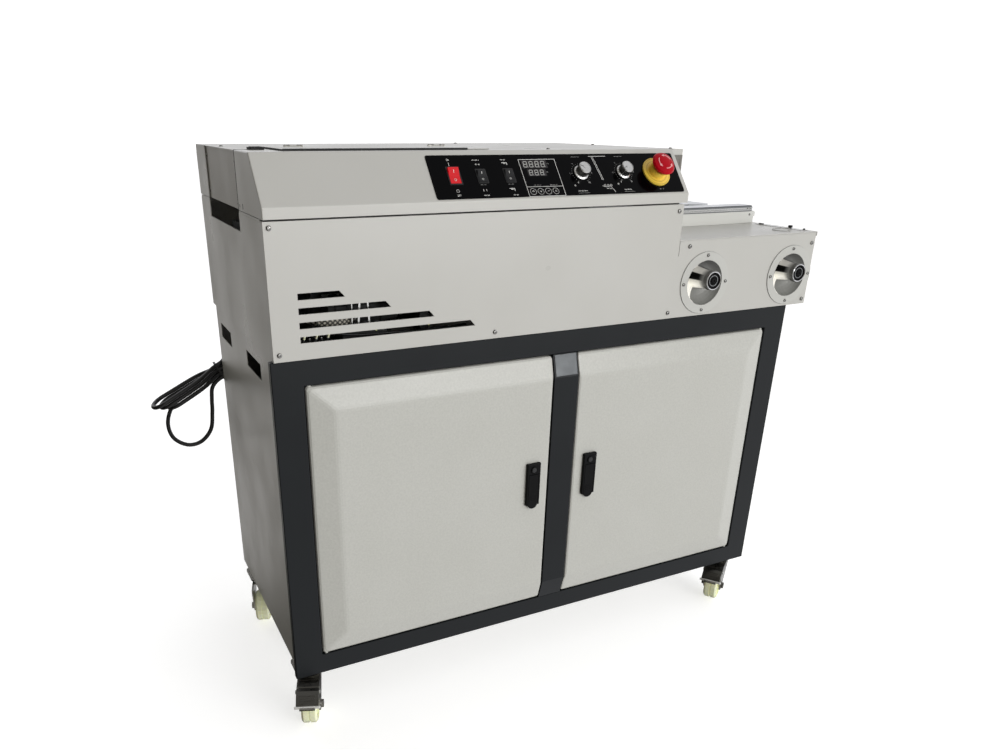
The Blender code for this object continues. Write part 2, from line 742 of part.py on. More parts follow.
def step_table(carrier, paint):
    """The low table right of the hood, with a lip over the right wall."""
    left = HOUSING_SPLIT + SEAT
    right = HOUSING_RIGHT + TABLE_OVERHANG
    front = -FACE_PROUD - SEAT
    outline = [
        (left, front), (right, front), (right, HOUSING_REAR), (left, HOUSING_REAR)]
    shape = bmesh.new()
    add_pan(shape, outline, [0, TABLE_LIP, 0, 0], lambda u, v, w: (u, v, TABLE_TOP - w))
    made = place("step_table", shape, paint, carrier)
    thicken(made, SHEET)


def bezel(index, centre, carrier):
    """A dish: a flange on the panel, a bowl and a hollow cone up to the knob.

    The cone stands a little above the bowl's middle, so the bowl leans up towards it.
    """
    shaft = KNOB_SHAFT + SEAT
    seat = SEAT
    flange_top = seat + DISH_SHEET
    floor = -DISH_DEPTH
    bowl = arc((DISH_FLOOR, flange_top), DISH_RADIUS - DISH_FLOOR, 0, -90, BOWL_STEPS)
    bowl = [(r, seat - DISH_SHEET / 2 + (h - flange_top) + DISH_SHEET) for r, h in bowl]
    inside = [(r, max(h, floor)) for r, h in bowl]
    outside = [(r + DISH_SHEET, max(h, floor) - DISH_SHEET) for r, h in reversed(inside[1:])]
    profile = [(DISH_FLANGE, seat), (DISH_FLANGE, flange_top), (DISH_RADIUS, flange_top)]
    profile += inside[1:]
    profile += [(CONE_TOP, CONE_PROUD), (shaft, CONE_PROUD), (shaft, CONE_PROUD - CONE_LIP)]
    profile += [(DISH_FLOOR - DISH_SHEET, floor - DISH_SHEET)]
    profile += outside[1:]
    profile += [(DISH_RADIUS + DISH_SHEET, seat)]
    shape = bmesh.new()
    middle = Vector((centre, -FACE_PROUD, DISH_Z))
    add_turned(shape, profile, ROUND_SIDES, (0, -1, 0), middle)
    for vert in shape.verts:
        across = vert.co - middle
        depth = across.y
        across.y = 0
        share = min(max(depth / DISH_DEPTH, 0), 1) ** 2
        if across.length < DISH_FLOOR + SEAT:
            share = 1
        vert.co.z += KNOB_RISE * share
    place(f"bezel_{index}", shape, PAINTS["steel"], carrier, smooth_angle=35)


def adjust_knob(index, centre, carrier):
    """The black knob in a dish, on its shaft."""
    hub = pivot(f"adjust_knob_{index}_pivot", (centre, -FACE_PROUD, KNOB_Z), carrier)
    back = KNOB_FACE - KNOB_LENGTH
    profile = [
        (0, -KNOB_TAIL), (KNOB_SHAFT, -KNOB_TAIL), (KNOB_SHAFT, back),
        (KNOB_RADIUS - KNOB_CHAMFER, back), (KNOB_RADIUS, back + KNOB_CHAMFER),
        (KNOB_RADIUS, KNOB_FACE - KNOB_CHAMFER), (KNOB_RADIUS - KNOB_CHAMFER, KNOB_FACE),
        (KNOB_RING, KNOB_FACE), (KNOB_RING - KNOB_CHAMFER, KNOB_FACE - KNOB_DIP),
        (0, KNOB_FACE - KNOB_DIP)]
    shape = bmesh.new()
    add_turned(shape, profile, ROUND_SIDES, (0, -1, 0), (centre, -FACE_PROUD, KNOB_Z))
    place(f"adjust_knob_{index}", shape, PAINTS["black"], hub, smooth_angle=35)


# Hood
HOOD_LIP_Y = -0.0040
HOOD_LIP_GAP = 0.0026
HOOD_LIP_HEIGHT = 0.0150
HOOD_SLOPE_RUN = 0.054
HOOD_SPLIT_Y = 0.1388
HOOD_SEAM = 0.0012
HOOD_FLANGE = 0.010
HOOD_OVERHANG = 0.0284
HOOD_FRONT_LAP = 0.0055
HOOD_RIGHT_START = 0.050
END_SEAM_Y = 0.370
END_INSET = 0.0024
END_RETURN = 0.008
FOLD_RADIUS = 0.0015
LID_LEFT = 0.060
LID_RIGHT = 0.385
LID_FRONT = 0.076
LID_REAR = 0.196
LID_RIM = 0.012
LID_SHEET = 0.0015
HINGE_AXIS_Y = 0.2000
HINGE_RADIUS = 0.0022
HINGE_SPOTS = (0.110, 0.352)
HINGE_WIDTH = 0.030
HINGE_LEAF = 0.014
HINGE_LEAF_THICK = 0.0010

LIP_BOTTOM = HIGH_TOP + HOOD_LIP_GAP
FOLD_Z = LIP_BOTTOM + HOOD_LIP_HEIGHT
SLOPE_TOP_Y = HOOD_LIP_Y + HOOD_SLOPE_RUN
SLOPE_ANGLE = math.atan2(HOOD_TOP - FOLD_Z, HOOD_SLOPE_RUN)
HOOD_FRONT_RIGHT = HOUSING_SPLIT + HOOD_FRONT_LAP
HOOD_RIGHT = HOUSING_SPLIT + HOOD_OVERHANG


def hood_front(carrier, paint):
    """The sloping front cover: a folded profile with two closed ends."""
    rear = HOOD_SPLIT_Y - HOOD_SEAM
    section = [
        (HOOD_LIP_Y, LIP_BOTTOM), (HOOD_LIP_Y, FOLD_Z), (SLOPE_TOP_Y, HOOD_TOP),
        (rear, HOOD_TOP), (rear, HOOD_TOP - HOOD_FLANGE)]
    shape = bmesh.new()
    ends = []
    for x in (HOUSING_LEFT, HOOD_FRONT_RIGHT):
        verts = [shape.verts.new((x, y, z)) for y, z in section]
        foot = shape.verts.new((x, rear, LIP_BOTTOM))
        shape.faces.new(verts + [foot])
        ends.append(verts)
    for i in range(len(section) - 1):
        shape.faces.new([ends[0][i], ends[0][i + 1], ends[1][i + 1], ends[1][i]])
    made = place("hood_front", shape, paint, carrier)
    soften(made, FOLD_RADIUS)
    thicken(made, SHEET)
    cut_boxes(made, [(
        (LID_LEFT + LID_RIM, LID_FRONT + LID_RIM, HOOD_TOP - HOOD_FLANGE - OVERRUN),
        (LID_RIGHT - LID_RIM, HOOD_SPLIT_Y + OVERRUN, HOOD_TOP + OVERRUN))], "lid opening, front")
    return made


def hood_body(carrier, paint):
    """The hood's rear body: the top, a rear wall, two end walls and flanges."""
    start = HOOD_SPLIT_Y
    side = HOOD_FRONT_RIGHT + SEAT
    outline = [
        (HOUSING_LEFT, start), (side, start), (side, HOOD_RIGHT_START),
        (HOOD_RIGHT, HOOD_RIGHT_START), (HOOD_RIGHT, HOUSING_REAR), (HOUSING_LEFT, HOUSING_REAR),
        (HOUSING_LEFT, END_SEAM_Y)]
    wall = HOOD_TOP - LIP_BOTTOM
    depths = [HOOD_FLANGE, HOOD_FLANGE, wall, HOOD_FLANGE, wall, wall, 0]
    shape = bmesh.new()
    add_pan(shape, outline, depths, lambda u, v, w: (u, v, HOOD_TOP - w))
    made = place("hood_body", shape, paint, carrier)
    thicken(made, SHEET)
    cut_boxes(made, [(
        (LID_LEFT + LID_RIM, start - OVERRUN, HOOD_TOP - HOOD_FLANGE - OVERRUN),
        (LID_RIGHT - LID_RIM, LID_REAR - LID_RIM, HOOD_TOP + OVERRUN))], "lid opening, rear")


def end_cover(carrier, paint):
    """The inset panel that closes the hood's left end between its two seams."""
    level = HOUSING_LEFT + END_INSET
    front = HOOD_SPLIT_Y + SHEET + SEAT * 2
    rear = END_SEAM_Y - SEAT
    top = HOOD_TOP - SHEET - SEAT
    outline = [(front, LIP_BOTTOM), (rear, LIP_BOTTOM), (rear, top), (front, top)]
    shape = bmesh.new()
    add_pan(
        shape, outline, [END_RETURN, 0, END_RETURN, 0], lambda u, v, w: (level + w, u, v))
    made = place("end_cover", shape, paint, carrier)
    thicken(made, SHEET)


def hood_lid(carrier, paint):
    """The hinged lid over the glue tank, and its two hinges."""
    low = HOOD_TOP + SEAT
    axis_z = low + HINGE_RADIUS
    hinge = pivot("hood_lid_pivot", (LID_LEFT, HINGE_AXIS_Y, axis_z), carrier)
    shape = bmesh.new()
    add_box(shape, (LID_LEFT, LID_FRONT, low), (LID_RIGHT, LID_REAR, low + LID_SHEET))
    made = place("hood_lid", shape, paint, hinge)
    soften(made, LID_SHEET / 4, segments=1)
    third = HINGE_WIDTH / 6
    tabs = []
    knuckles = bmesh.new()
    for spot in HINGE_SPOTS:
        add_turned(
            knuckles, tube_profile(
                HINGE_RADIUS / 2 + SEAT, HINGE_RADIUS, spot - third, spot + third),
            PIN_SIDES, (1, 0, 0), (0, HINGE_AXIS_Y, axis_z))
        tabs.append((
            (spot - third, LID_REAR - LID_RIM / 2, low + LID_SHEET / 2),
            (spot + third, HINGE_AXIS_Y - HINGE_RADIUS / 2 - SEAT * 2, low + LID_SHEET)))
    join_boxes(made, tabs, "lid tabs")
    combine(made, knuckles, "UNION", "lid knuckles")
    for index, spot in enumerate(HINGE_SPOTS, 1):
        lid_hinge(index, spot, axis_z, low, carrier)


def lid_hinge(index, spot, axis_z, low, carrier):
    """The fixed half of one hinge: a leaf on the hood, two outer knuckles and the pin."""
    third = HINGE_WIDTH / 6
    half = HINGE_WIDTH / 2
    leaf = bmesh.new()
    add_box(
        leaf, (spot - half, HINGE_AXIS_Y + HINGE_RADIUS + SEAT, low),
        (spot + half, HINGE_AXIS_Y + HINGE_LEAF, low + HINGE_LEAF_THICK))
    made = place(f"lid_hinge_{index}", leaf, PAINTS["steel"], carrier)
    pin = bmesh.new()
    add_turned(
        pin, [(0, spot - half), (HINGE_RADIUS, spot - half), (HINGE_RADIUS, spot - third - SEAT),
              (HINGE_RADIUS / 2, spot - third - SEAT), (HINGE_RADIUS / 2, spot + third + SEAT),
              (HINGE_RADIUS, spot + third + SEAT), (HINGE_RADIUS, spot + half), (0, spot + half)],
        PIN_SIDES, (1, 0, 0), (0, HINGE_AXIS_Y, axis_z))
    combine(made, pin, "UNION", f"hinge pin {index}")
    ears = bmesh.new()
    for side in (-1, 1):
        edge = spot + side * half
        inner = spot + side * (third + SEAT)
        add_box(
            ears, (min(edge, inner), HINGE_AXIS_Y, low),
            (max(edge, inner), HINGE_AXIS_Y + HINGE_RADIUS * 2, low + HINGE_LEAF_THICK))
    combine(made, ears, "UNION", f"hinge ears {index}")


# Controls on the slope, in slope coordinates: X along the hood, Y up the slope, Z off its face
PANEL_WIDTH = 0.453
PANEL_INSET = 0.0036
PANEL_BOTTOM = 0.0030
PANEL_TOP = 0.0770
PANEL_CORNER = 0.0030
PANEL_THICK = 0.0008
MAIN_ROCKER_ALONG = 0.0375
MAIN_ROCKER_UP = 0.0415
MAIN_ROCKER_WIDTH = 0.0170
MAIN_ROCKER_HEIGHT = 0.0250
SMALL_ROCKER_ALONG = 0.0830
SMALL_ROCKER_STEP = 0.0470
SMALL_ROCKER_UP = 0.0400
SMALL_ROCKER_WIDTH = 0.0130
SMALL_ROCKER_HEIGHT = 0.0190
ROCKER_HOUSING = 0.012
ROCKER_CREST = 0.0016
ROCKER_PEAK = 0.0042
ROCKER_TILT = 9.0
ROCKER_END_GAP = 0.0008
DIAL_ALONG = 0.2600
DIAL_STEP = 0.0820
DIAL_UP = 0.0420
DIAL_RADIUS = 0.0125
DIAL_TOP_RADIUS = 0.0105
DIAL_HEIGHT = 0.0150
DIAL_SKIRT = 0.0030
DIAL_FLUTES = 18
DIAL_FLUTE_DEPTH = 0.0005
STOP_ALONG = 0.4070
STOP_UP = 0.0400
STOP_RING = 0.0255
STOP_RING_THICK = 0.0025
STOP_COLLAR = 0.0145
STOP_COLLAR_HEIGHT = 0.0135
STOP_STEM = 0.0120
STOP_HEAD = 0.0205
STOP_HEAD_LOW = 0.0195
STOP_HEAD_HIGH = 0.0290
STOP_STEM_LOW = 0.0095
STOP_CROWN_TURNS = (25.0, 50.0, 72.0)

PANEL_RIGHT = HOUSING_SPLIT - PANEL_INSET
PANEL_LEFT = PANEL_RIGHT - PANEL_WIDTH
SMALL_ROCKER_X = PANEL_LEFT + SMALL_ROCKER_ALONG
DIAL_X = PANEL_LEFT + DIAL_ALONG
ROCKERS = (
    ("main_rocker", PANEL_LEFT + MAIN_ROCKER_ALONG, MAIN_ROCKER_UP,
     MAIN_ROCKER_WIDTH, MAIN_ROCKER_HEIGHT, "red"),
    ("small_rocker_1", SMALL_ROCKER_X, SMALL_ROCKER_UP,
     SMALL_ROCKER_WIDTH, SMALL_ROCKER_HEIGHT, "black"),
    ("small_rocker_2", SMALL_ROCKER_X + SMALL_ROCKER_STEP, SMALL_ROCKER_UP,
     SMALL_ROCKER_WIDTH, SMALL_ROCKER_HEIGHT, "black"))
DIAL_SPOTS = ((DIAL_X, DIAL_UP), (DIAL_X + DIAL_STEP, DIAL_UP))
STOP_SPOT = (PANEL_LEFT + STOP_ALONG, STOP_UP)


def control_panel(slope, hood):
    """The overlay on the slope and everything on it."""
    low = SEAT
    high = SEAT + PANEL_THICK
    shape = bmesh.new()
    outline = rounded_rectangle(
        PANEL_LEFT, PANEL_BOTTOM, PANEL_RIGHT, PANEL_TOP, PANEL_CORNER, CORNER_STEPS)
    add_prism(shape, outline, 2, low, high)
    overlay = place("control_panel", shape, PAINTS["gloss_black"], slope)
    holes = []
    for name, x, up, width, height, paint in ROCKERS:
        half_x = width / 2 + SEAT
        half_y = height / 2 + ROCKER_END_GAP
        holes.append((
            (x - half_x, up - half_y, -OVERRUN), (x + half_x, up + half_y, OVERRUN)))
        rocker(name, x, up, width, height, PAINTS[paint], slope)
    cut_boxes(overlay, holes, "rocker holes")
    turn = slope_matrix()
    through = bmesh.new()
    for low_corner, high_corner in holes:
        add_box(through, low_corner, high_corner)
    bmesh.ops.transform(through, matrix=turn, verts=through.verts[:])
    combine(hood, through, "DIFFERENCE", "rocker cut-outs")
    for index, spot in enumerate(DIAL_SPOTS, 1):
        dial(index, spot, high + SEAT, slope)
    stop_switch(high + SEAT, slope)


def slope_matrix():
    """Slope coordinates to machine coordinates."""
    return Matrix.Translation((0, HOOD_LIP_Y, FOLD_Z)) @ Matrix.Rotation(SLOPE_ANGLE, 4, "X")


def rocker(name, x, up, width, height, paint, slope):
    """A rocker button: a shallow V on top, tilted to one side on its pin."""
    hub = pivot(f"{name}_pivot", (x, up, 0), slope)
    half_x = width / 2
    half_y = height / 2
    outline = [
        (up - half_y, -ROCKER_CREST), (up - half_y, ROCKER_PEAK),
        (up, ROCKER_CREST + PANEL_THICK), (up + half_y, ROCKER_PEAK),
        (up + half_y, -ROCKER_CREST), (up + half_y / 2, -ROCKER_HOUSING / 2),
        (up - half_y / 2, -ROCKER_HOUSING / 2)]
    shape = bmesh.new()
    add_prism(shape, outline, 0, x - half_x, x + half_x)
    made = place(name, shape, paint, hub)
    made.rotation_euler = (math.radians(ROCKER_TILT), 0, 0)


def dial(index, spot, low, slope):
    """A fluted dial knob: a skirt, a fluted wall and a flat top."""
    hub = pivot(f"dial_{index}_pivot", (*spot, low), slope)
    shape = bmesh.new()
    levels = [
        (DIAL_RADIUS, low, 0), (DIAL_RADIUS, low + DIAL_SKIRT / 2, 0),
        (DIAL_TOP_RADIUS, low + DIAL_SKIRT, DIAL_FLUTE_DEPTH),
        (DIAL_TOP_RADIUS, low + DIAL_HEIGHT - DIAL_FLUTE_DEPTH * 2, DIAL_FLUTE_DEPTH),
        (DIAL_TOP_RADIUS - DIAL_FLUTE_DEPTH * 2, low + DIAL_HEIGHT, 0)]
    sides = DIAL_FLUTES * 2
    rings = []
    for radius, level, flute in levels:
        ring = []
        for i in range(sides):
            reach = radius - flute * (i % 2)
            angle = math.tau * i / sides
            ring.append(shape.verts.new((
                spot[0] + reach * math.cos(angle), spot[1] + reach * math.sin(angle), level)))
        rings.append(ring)
    shape.faces.new(rings[0])
    shape.faces.new(rings[-1])
    for near, far in zip(rings, rings[1:]):
        for i in range(sides):
            j = (i + 1) % sides
            shape.faces.new([near[i], near[j], far[j], far[i]])
    place(f"dial_{index}", shape, PAINTS["aluminium"], hub, smooth_angle=30)


def stop_switch(low, slope):
    """The stop switch: a yellow ring with a collar, and a mushroom button."""
    centre = (*STOP_SPOT, low)
    ring = bmesh.new()
    bore = STOP_STEM + SEAT
    add_turned(
        ring, [(bore, 0), (STOP_RING, 0), (STOP_RING, STOP_RING_THICK),
               (STOP_COLLAR, STOP_RING_THICK), (STOP_COLLAR, STOP_COLLAR_HEIGHT),
               (bore, STOP_COLLAR_HEIGHT)], ROUND_SIDES, (0, 0, 1), centre)
    place("stop_base", ring, PAINTS["yellow"], slope, smooth_angle=35)
    hub = pivot("stop_button_pivot", centre, slope)
    head = [(0, STOP_STEM_LOW), (STOP_STEM, STOP_STEM_LOW), (STOP_STEM, STOP_HEAD_LOW)]
    crown = STOP_HEAD_HIGH - STOP_HEAD_LOW
    middle = STOP_HEAD_LOW + crown / 3
    head += [(STOP_HEAD - crown / 6, STOP_HEAD_LOW), (STOP_HEAD, middle)]
    for turn in STOP_CROWN_TURNS:
        angle = math.radians(turn)
        rise = (STOP_HEAD_HIGH - middle) * math.sin(angle)
        head.append((STOP_HEAD * math.cos(angle), middle + rise))
    head += [(0, STOP_HEAD_HIGH)]
    shape = bmesh.new()
    add_turned(shape, head, ROUND_SIDES, (0, 0, 1), centre)
    place("stop_button", shape, PAINTS["red"], hub, smooth_angle=35)


# Right station: nip box and front nip jaw
NIP_FRONT = 0.150
NIP_END_GAP = 0.0107
NIP_HEIGHT = 0.0223
NIP_GAP = 0.070
JAW_DEPTH = 0.040
JAW_HEIGHT = 0.0107
JAW_END_GAP = 0.0040
JAW_CHAMFER = 0.0030
JAW_TRAVEL = 0.010

# Clamp carriage on its rail
RAIL_LEFT = 0.030
RAIL_END_GAP = 0.0320
RAIL_WIDTH = 0.060
RAIL_HEIGHT = 0.0287
RAIL_GROOVE = 0.010
RAIL_GROOVE_DEPTH = 0.008
POST_FOOT_WIDTH = 0.040
CARRIAGE_HIDDEN = 0.3326
CARRIAGE_LENGTH = 0.332
SADDLE_HEIGHT = 0.016
CHEEK_HEIGHT = 0.086
CHEEK_THICK = 0.012
CHEEK_LIFT = 0.009
ROD_RADIUS = 0.006
ROD_INSET = 0.035
ROD_Z = 0.062
BAR_DEPTH = 0.010
BAR_HEIGHT = 0.028
CLAMP_JAW_THICK = 0.014
CLAMP_TRAVEL = 0.050

NIP_RIGHT = HOUSING_RIGHT - NIP_END_GAP
JAW_RIGHT = NIP_RIGHT - JAW_END_GAP
RAIL_RIGHT = HOUSING_RIGHT - RAIL_END_GAP
CARRIAGE_LEFT = HOUSING_SPLIT - CARRIAGE_HIDDEN
NIP_REAR = NIP_FRONT + JAW_DEPTH + NIP_GAP
NIP_TOP = TABLE_TOP + SEAT + NIP_HEIGHT
RAIL_FRONT = NIP_REAR + SEAT
RAIL_REAR = RAIL_FRONT + RAIL_WIDTH
RAIL_BOTTOM = TABLE_TOP + SEAT
RAIL_TOP = RAIL_BOTTOM + RAIL_HEIGHT


def nip_box(carrier, paint):
    """The raised box on the low table, open below."""
    left = HOUSING_SPLIT + SEAT
    outline = [
        (left, NIP_FRONT), (NIP_RIGHT, NIP_FRONT), (NIP_RIGHT, NIP_REAR), (left, NIP_REAR)]
    shape = bmesh.new()
    add_pan(shape, outline, [NIP_HEIGHT] * 4, lambda u, v, w: (u, v, NIP_TOP - w))
    made = place("nip_box", shape, paint, carrier)
    thicken(made, SHEET)


def nip_jaw(carrier):
    """The front nip jaw: a chamfered bar that slides toward the rail."""
    slide = pivot("nip_jaw_slide", (JAW_RIGHT, NIP_FRONT, NIP_TOP), carrier)
    low = NIP_TOP + SEAT
    high = low + JAW_HEIGHT
    rear = NIP_FRONT + JAW_DEPTH
    section = [
        (NIP_FRONT + SHEET, low), (rear, low), (rear, high), (NIP_FRONT + SHEET + JAW_CHAMFER, high),
        (NIP_FRONT + SHEET, high - JAW_CHAMFER)]
    shape = bmesh.new()
    add_prism(shape, section, 0, HOUSING_SPLIT + SHEET, JAW_RIGHT)
    place("nip_jaw", shape, PAINTS["steel"], slide)


def guide_rail(carrier):
    """The beam that guides the carriage: grooved sides, and a foot down to the tub's floor."""
    front = RAIL_FRONT
    rear = RAIL_REAR
    middle = (RAIL_BOTTOM + RAIL_TOP) / 2
    low = middle - RAIL_GROOVE / 2
    high = middle + RAIL_GROOVE / 2
    deep = RAIL_GROOVE_DEPTH
    section = [
        (front, RAIL_BOTTOM), (rear, RAIL_BOTTOM), (rear, low), (rear - deep, low),
        (rear - deep, high), (rear, high), (rear, RAIL_TOP), (front, RAIL_TOP)]
    shape = bmesh.new()
    add_prism(shape, section, 0, RAIL_LEFT, RAIL_RIGHT)
    made = place("guide_rail", shape, PAINTS["aluminium"], carrier)
    foot = bmesh.new()
    add_prism(
        foot, [(front + deep, FLOOR_TOP + SEAT), (rear - deep, FLOOR_TOP + SEAT),
               (rear - deep, RAIL_BOTTOM + deep), (front + deep, RAIL_BOTTOM + deep)],
        0, RAIL_LEFT + deep, RAIL_LEFT + deep + POST_FOOT_WIDTH)
    combine(made, foot, "UNION", "rail foot")


def clamp_carriage(carrier):
    """The carriage: a saddle on the rail, the fixed clamp cheek, two rods and a front bar."""
    slide = pivot("clamp_carriage_slide", (CARRIAGE_LEFT, RAIL_FRONT, RAIL_TOP), carrier)
    left = CARRIAGE_LEFT
    right = left + CARRIAGE_LENGTH
    low = RAIL_TOP + SEAT
    cheek_low = RAIL_TOP + CHEEK_LIFT
    top = cheek_low + CHEEK_HEIGHT - CHEEK_LIFT
    rod_z = RAIL_TOP + ROD_Z
    bar_front = NIP_FRONT
    cheek_front = RAIL_FRONT
    section = [
        (cheek_front, cheek_low), (cheek_front + CHEEK_THICK, low), (RAIL_REAR, low),
        (RAIL_REAR, low + SADDLE_HEIGHT), (cheek_front + CHEEK_THICK * 2, low + SADDLE_HEIGHT),
        (cheek_front + CHEEK_THICK, top - CHEEK_THICK), (cheek_front + CHEEK_THICK, top),
        (cheek_front, top)]
    shape = bmesh.new()
    add_prism(shape, section, 0, left, right)
    made = place("clamp_carriage", shape, PAINTS["grey"], slide)
    for index, x in enumerate((left + ROD_INSET, right - ROD_INSET), 1):
        rod = bmesh.new()
        add_turned(
            rod, rod_profile(ROD_RADIUS, bar_front + BAR_DEPTH / 2, cheek_front + CHEEK_THICK / 2),
            PIN_SIDES, (0, 1, 0), (x, 0, rod_z))
        combine(made, rod, "UNION", f"clamp rod {index}")
    bar = bmesh.new()
    add_box(
        bar, (left + ROD_INSET / 2, bar_front, rod_z - BAR_HEIGHT / 2),
        (right - ROD_INSET / 2, bar_front + BAR_DEPTH, rod_z + BAR_HEIGHT / 2))
    combine(made, bar, "UNION", "clamp bar")
    clamp_jaw(left, right, cheek_low, top, rod_z, slide)


def clamp_jaw(left, right, low, top, rod_z, slide):
    """The moving clamp jaw, bored for the two rods."""
    rear = RAIL_FRONT - CLAMP_TRAVEL - JAW_CHAMFER
    front = rear - CLAMP_JAW_THICK
    hub = pivot("clamp_jaw_slide", (left, front, low), slide)
    shape = bmesh.new()
    section = [
        (front + CLAMP_JAW_THICK / 2, low), (rear, low), (rear, top), (front, top),
        (front, rod_z - BAR_HEIGHT / 2)]
    add_prism(shape, section, 0, left, right)
    made = place("clamp_jaw", shape, PAINTS["aluminium"], hub)
    bores = bmesh.new()
    for x in (left + ROD_INSET, right - ROD_INSET):
        add_turned(
            bores, rod_profile(ROD_RADIUS + SEAT, front - OVERRUN, rear + OVERRUN),
            PIN_SIDES, (0, 1, 0), (x, 0, rod_z))
    combine(made, bores, "DIFFERENCE", "clamp jaw bores")


# Spine milling cutter and its motor
CUTTER_X = 0.352
CUTTER_SIDE_GAP = 0.0020
CUTTER_RADIUS = 0.0290
CUTTER_THICK = 0.008
CUTTER_TEETH = 16
CUTTER_TOOTH = 0.003
CUTTER_RISE_SHARE = 0.35
CUTTER_FALL_SHARE = 0.60
CUTTER_BELOW = 0.0045
SPINDLE_RADIUS = 0.008
CUTTER_MOTOR_RADIUS = 0.0280
CUTTER_MOTOR_HEIGHT = 0.110
CUTTER_MOTOR_FOOT = 0.0340
CUTTER_FOOT_THICK = 0.006

CUTTER_Y = RAIL_FRONT - CUTTER_SIDE_GAP - CUTTER_RADIUS

# Glue tank and roller
TANK_LEFT = 0.090
TANK_RIGHT = 0.285
TANK_FRONT = 0.084
TANK_REAR = 0.2585
TANK_TOP_DROP = 0.0140
TANK_HEIGHT = 0.075
TANK_WALL = 0.005
TANK_LEG = 0.016
TANK_BAY = 0.085
TANK_DEPTH = 0.060
ROLLER_X = 0.190
ROLLER_RADIUS = 0.030
ROLLER_BELOW = 0.0050
ROLLER_SHAFT = 0.006
ROLLER_CLEAR = 0.003

# Drive motor behind the vent slots
MOTOR_LEFT = 0.100
MOTOR_LENGTH = 0.110
MOTOR_RADIUS = 0.024
MOTOR_Y = 0.050
MOTOR_Z_RISE = 0.056
MOTOR_FOOT_WIDTH = 0.016
MOTOR_END_CAP = 0.010
MOTOR_END_STEP = 0.003
MOTOR_SHAFT = 0.005
MOTOR_SHAFT_LENGTH = 0.020
MOTOR_RIBS = 5
RIB_DEPTH = 0.0020


def milling_cutter(carrier):
    """The toothed cutter disc under the book's spine, on a vertical spindle."""
    top = RAIL_TOP - CUTTER_BELOW
    motor_top = FLOOR_TOP + SEAT + CUTTER_MOTOR_HEIGHT
    hub = pivot("milling_cutter_pivot", (CUTTER_X, CUTTER_Y, top), carrier)
    shape = bmesh.new()
    outline = []
    for i in range(CUTTER_TEETH):
        for turn, reach in (
                (0, 0), (CUTTER_RISE_SHARE, CUTTER_TOOTH), (CUTTER_FALL_SHARE, CUTTER_TOOTH)):
            angle = math.tau * (i + turn) / CUTTER_TEETH
            radius = CUTTER_RADIUS - CUTTER_TOOTH + reach
            outline.append((CUTTER_X + radius * math.cos(angle), CUTTER_Y + radius * math.sin(angle)))
    add_prism(shape, outline, 2, top - CUTTER_THICK, top)
    made = place("milling_cutter", shape, PAINTS["steel"], hub)
    spindle = bmesh.new()
    add_turned(
        spindle, rod_profile(SPINDLE_RADIUS, motor_top + SEAT, top - CUTTER_THICK / 2),
        PIN_SIDES * 2, (0, 0, 1), (CUTTER_X, CUTTER_Y, 0))
    combine(made, spindle, "UNION", "cutter spindle")
    motor = bmesh.new()
    foot = FLOOR_TOP + SEAT
    add_turned(
        motor, [(0, foot), (CUTTER_MOTOR_FOOT, foot), (CUTTER_MOTOR_FOOT, foot + CUTTER_FOOT_THICK),
                (CUTTER_MOTOR_RADIUS, foot + CUTTER_FOOT_THICK),
                (CUTTER_MOTOR_RADIUS, motor_top - CUTTER_FOOT_THICK),
                (CUTTER_MOTOR_RADIUS - CUTTER_FOOT_THICK, motor_top), (0, motor_top)],
        PIN_SIDES * 2, (0, 0, 1), (CUTTER_X, CUTTER_Y, 0))
    place("cutter_motor", motor, PAINTS["grey"], carrier, smooth_angle=35)


def glue_tank(carrier):
    """The heated tank on two legs: a front reservoir, a roller bay and shaft bores."""
    top = RAIL_TOP - TANK_TOP_DROP
    low = top - TANK_HEIGHT
    foot = FLOOR_TOP + SEAT
    section = [
        (TANK_LEFT, foot), (TANK_LEFT + TANK_LEG, foot), (TANK_LEFT + TANK_LEG, low),
        (TANK_RIGHT - TANK_LEG, low), (TANK_RIGHT - TANK_LEG, foot), (TANK_RIGHT, foot),
        (TANK_RIGHT, top), (TANK_LEFT, top)]
    shape = bmesh.new()
    add_prism(shape, section, 1, TANK_FRONT, TANK_REAR)
    made = place("glue_tank", shape, PAINTS["aluminium"], carrier)
    bay_front = TANK_REAR - TANK_WALL - TANK_BAY
    cut_boxes(made, [
        ((TANK_LEFT + TANK_WALL, TANK_FRONT + TANK_WALL, top - TANK_DEPTH),
         (TANK_RIGHT - TANK_WALL, bay_front - TANK_WALL, top + OVERRUN)),
        ((TANK_LEFT + TANK_WALL, bay_front, top - TANK_DEPTH),
         (TANK_RIGHT - TANK_WALL, TANK_REAR - TANK_WALL, top + OVERRUN))], "tank pockets")
    axis_z = RAIL_TOP - ROLLER_BELOW - ROLLER_RADIUS
    bore = bmesh.new()
    add_turned(
        bore, rod_profile(
            ROLLER_SHAFT + SEAT, bay_front - TANK_WALL - ROLLER_CLEAR, TANK_REAR + OVERRUN),
        PIN_SIDES, (0, 1, 0), (ROLLER_X, 0, axis_z))
    combine(made, bore, "DIFFERENCE", "roller bores")
    hub = pivot("glue_roller_pivot", (ROLLER_X, bay_front, axis_z), carrier)
    roller = bmesh.new()
    front = bay_front + ROLLER_CLEAR
    rear = TANK_REAR - TANK_WALL - ROLLER_CLEAR
    add_turned(
        roller, [(0, bay_front - TANK_WALL), (ROLLER_SHAFT, bay_front - TANK_WALL), (ROLLER_SHAFT, front),
                 (ROLLER_RADIUS, front), (ROLLER_RADIUS, rear), (ROLLER_SHAFT, rear),
                 (ROLLER_SHAFT, TANK_REAR), (0, TANK_REAR)],
        ROUND_SIDES, (0, 1, 0), (ROLLER_X, 0, axis_z))
    place("glue_roller", roller, PAINTS["steel"], hub, smooth_angle=35)


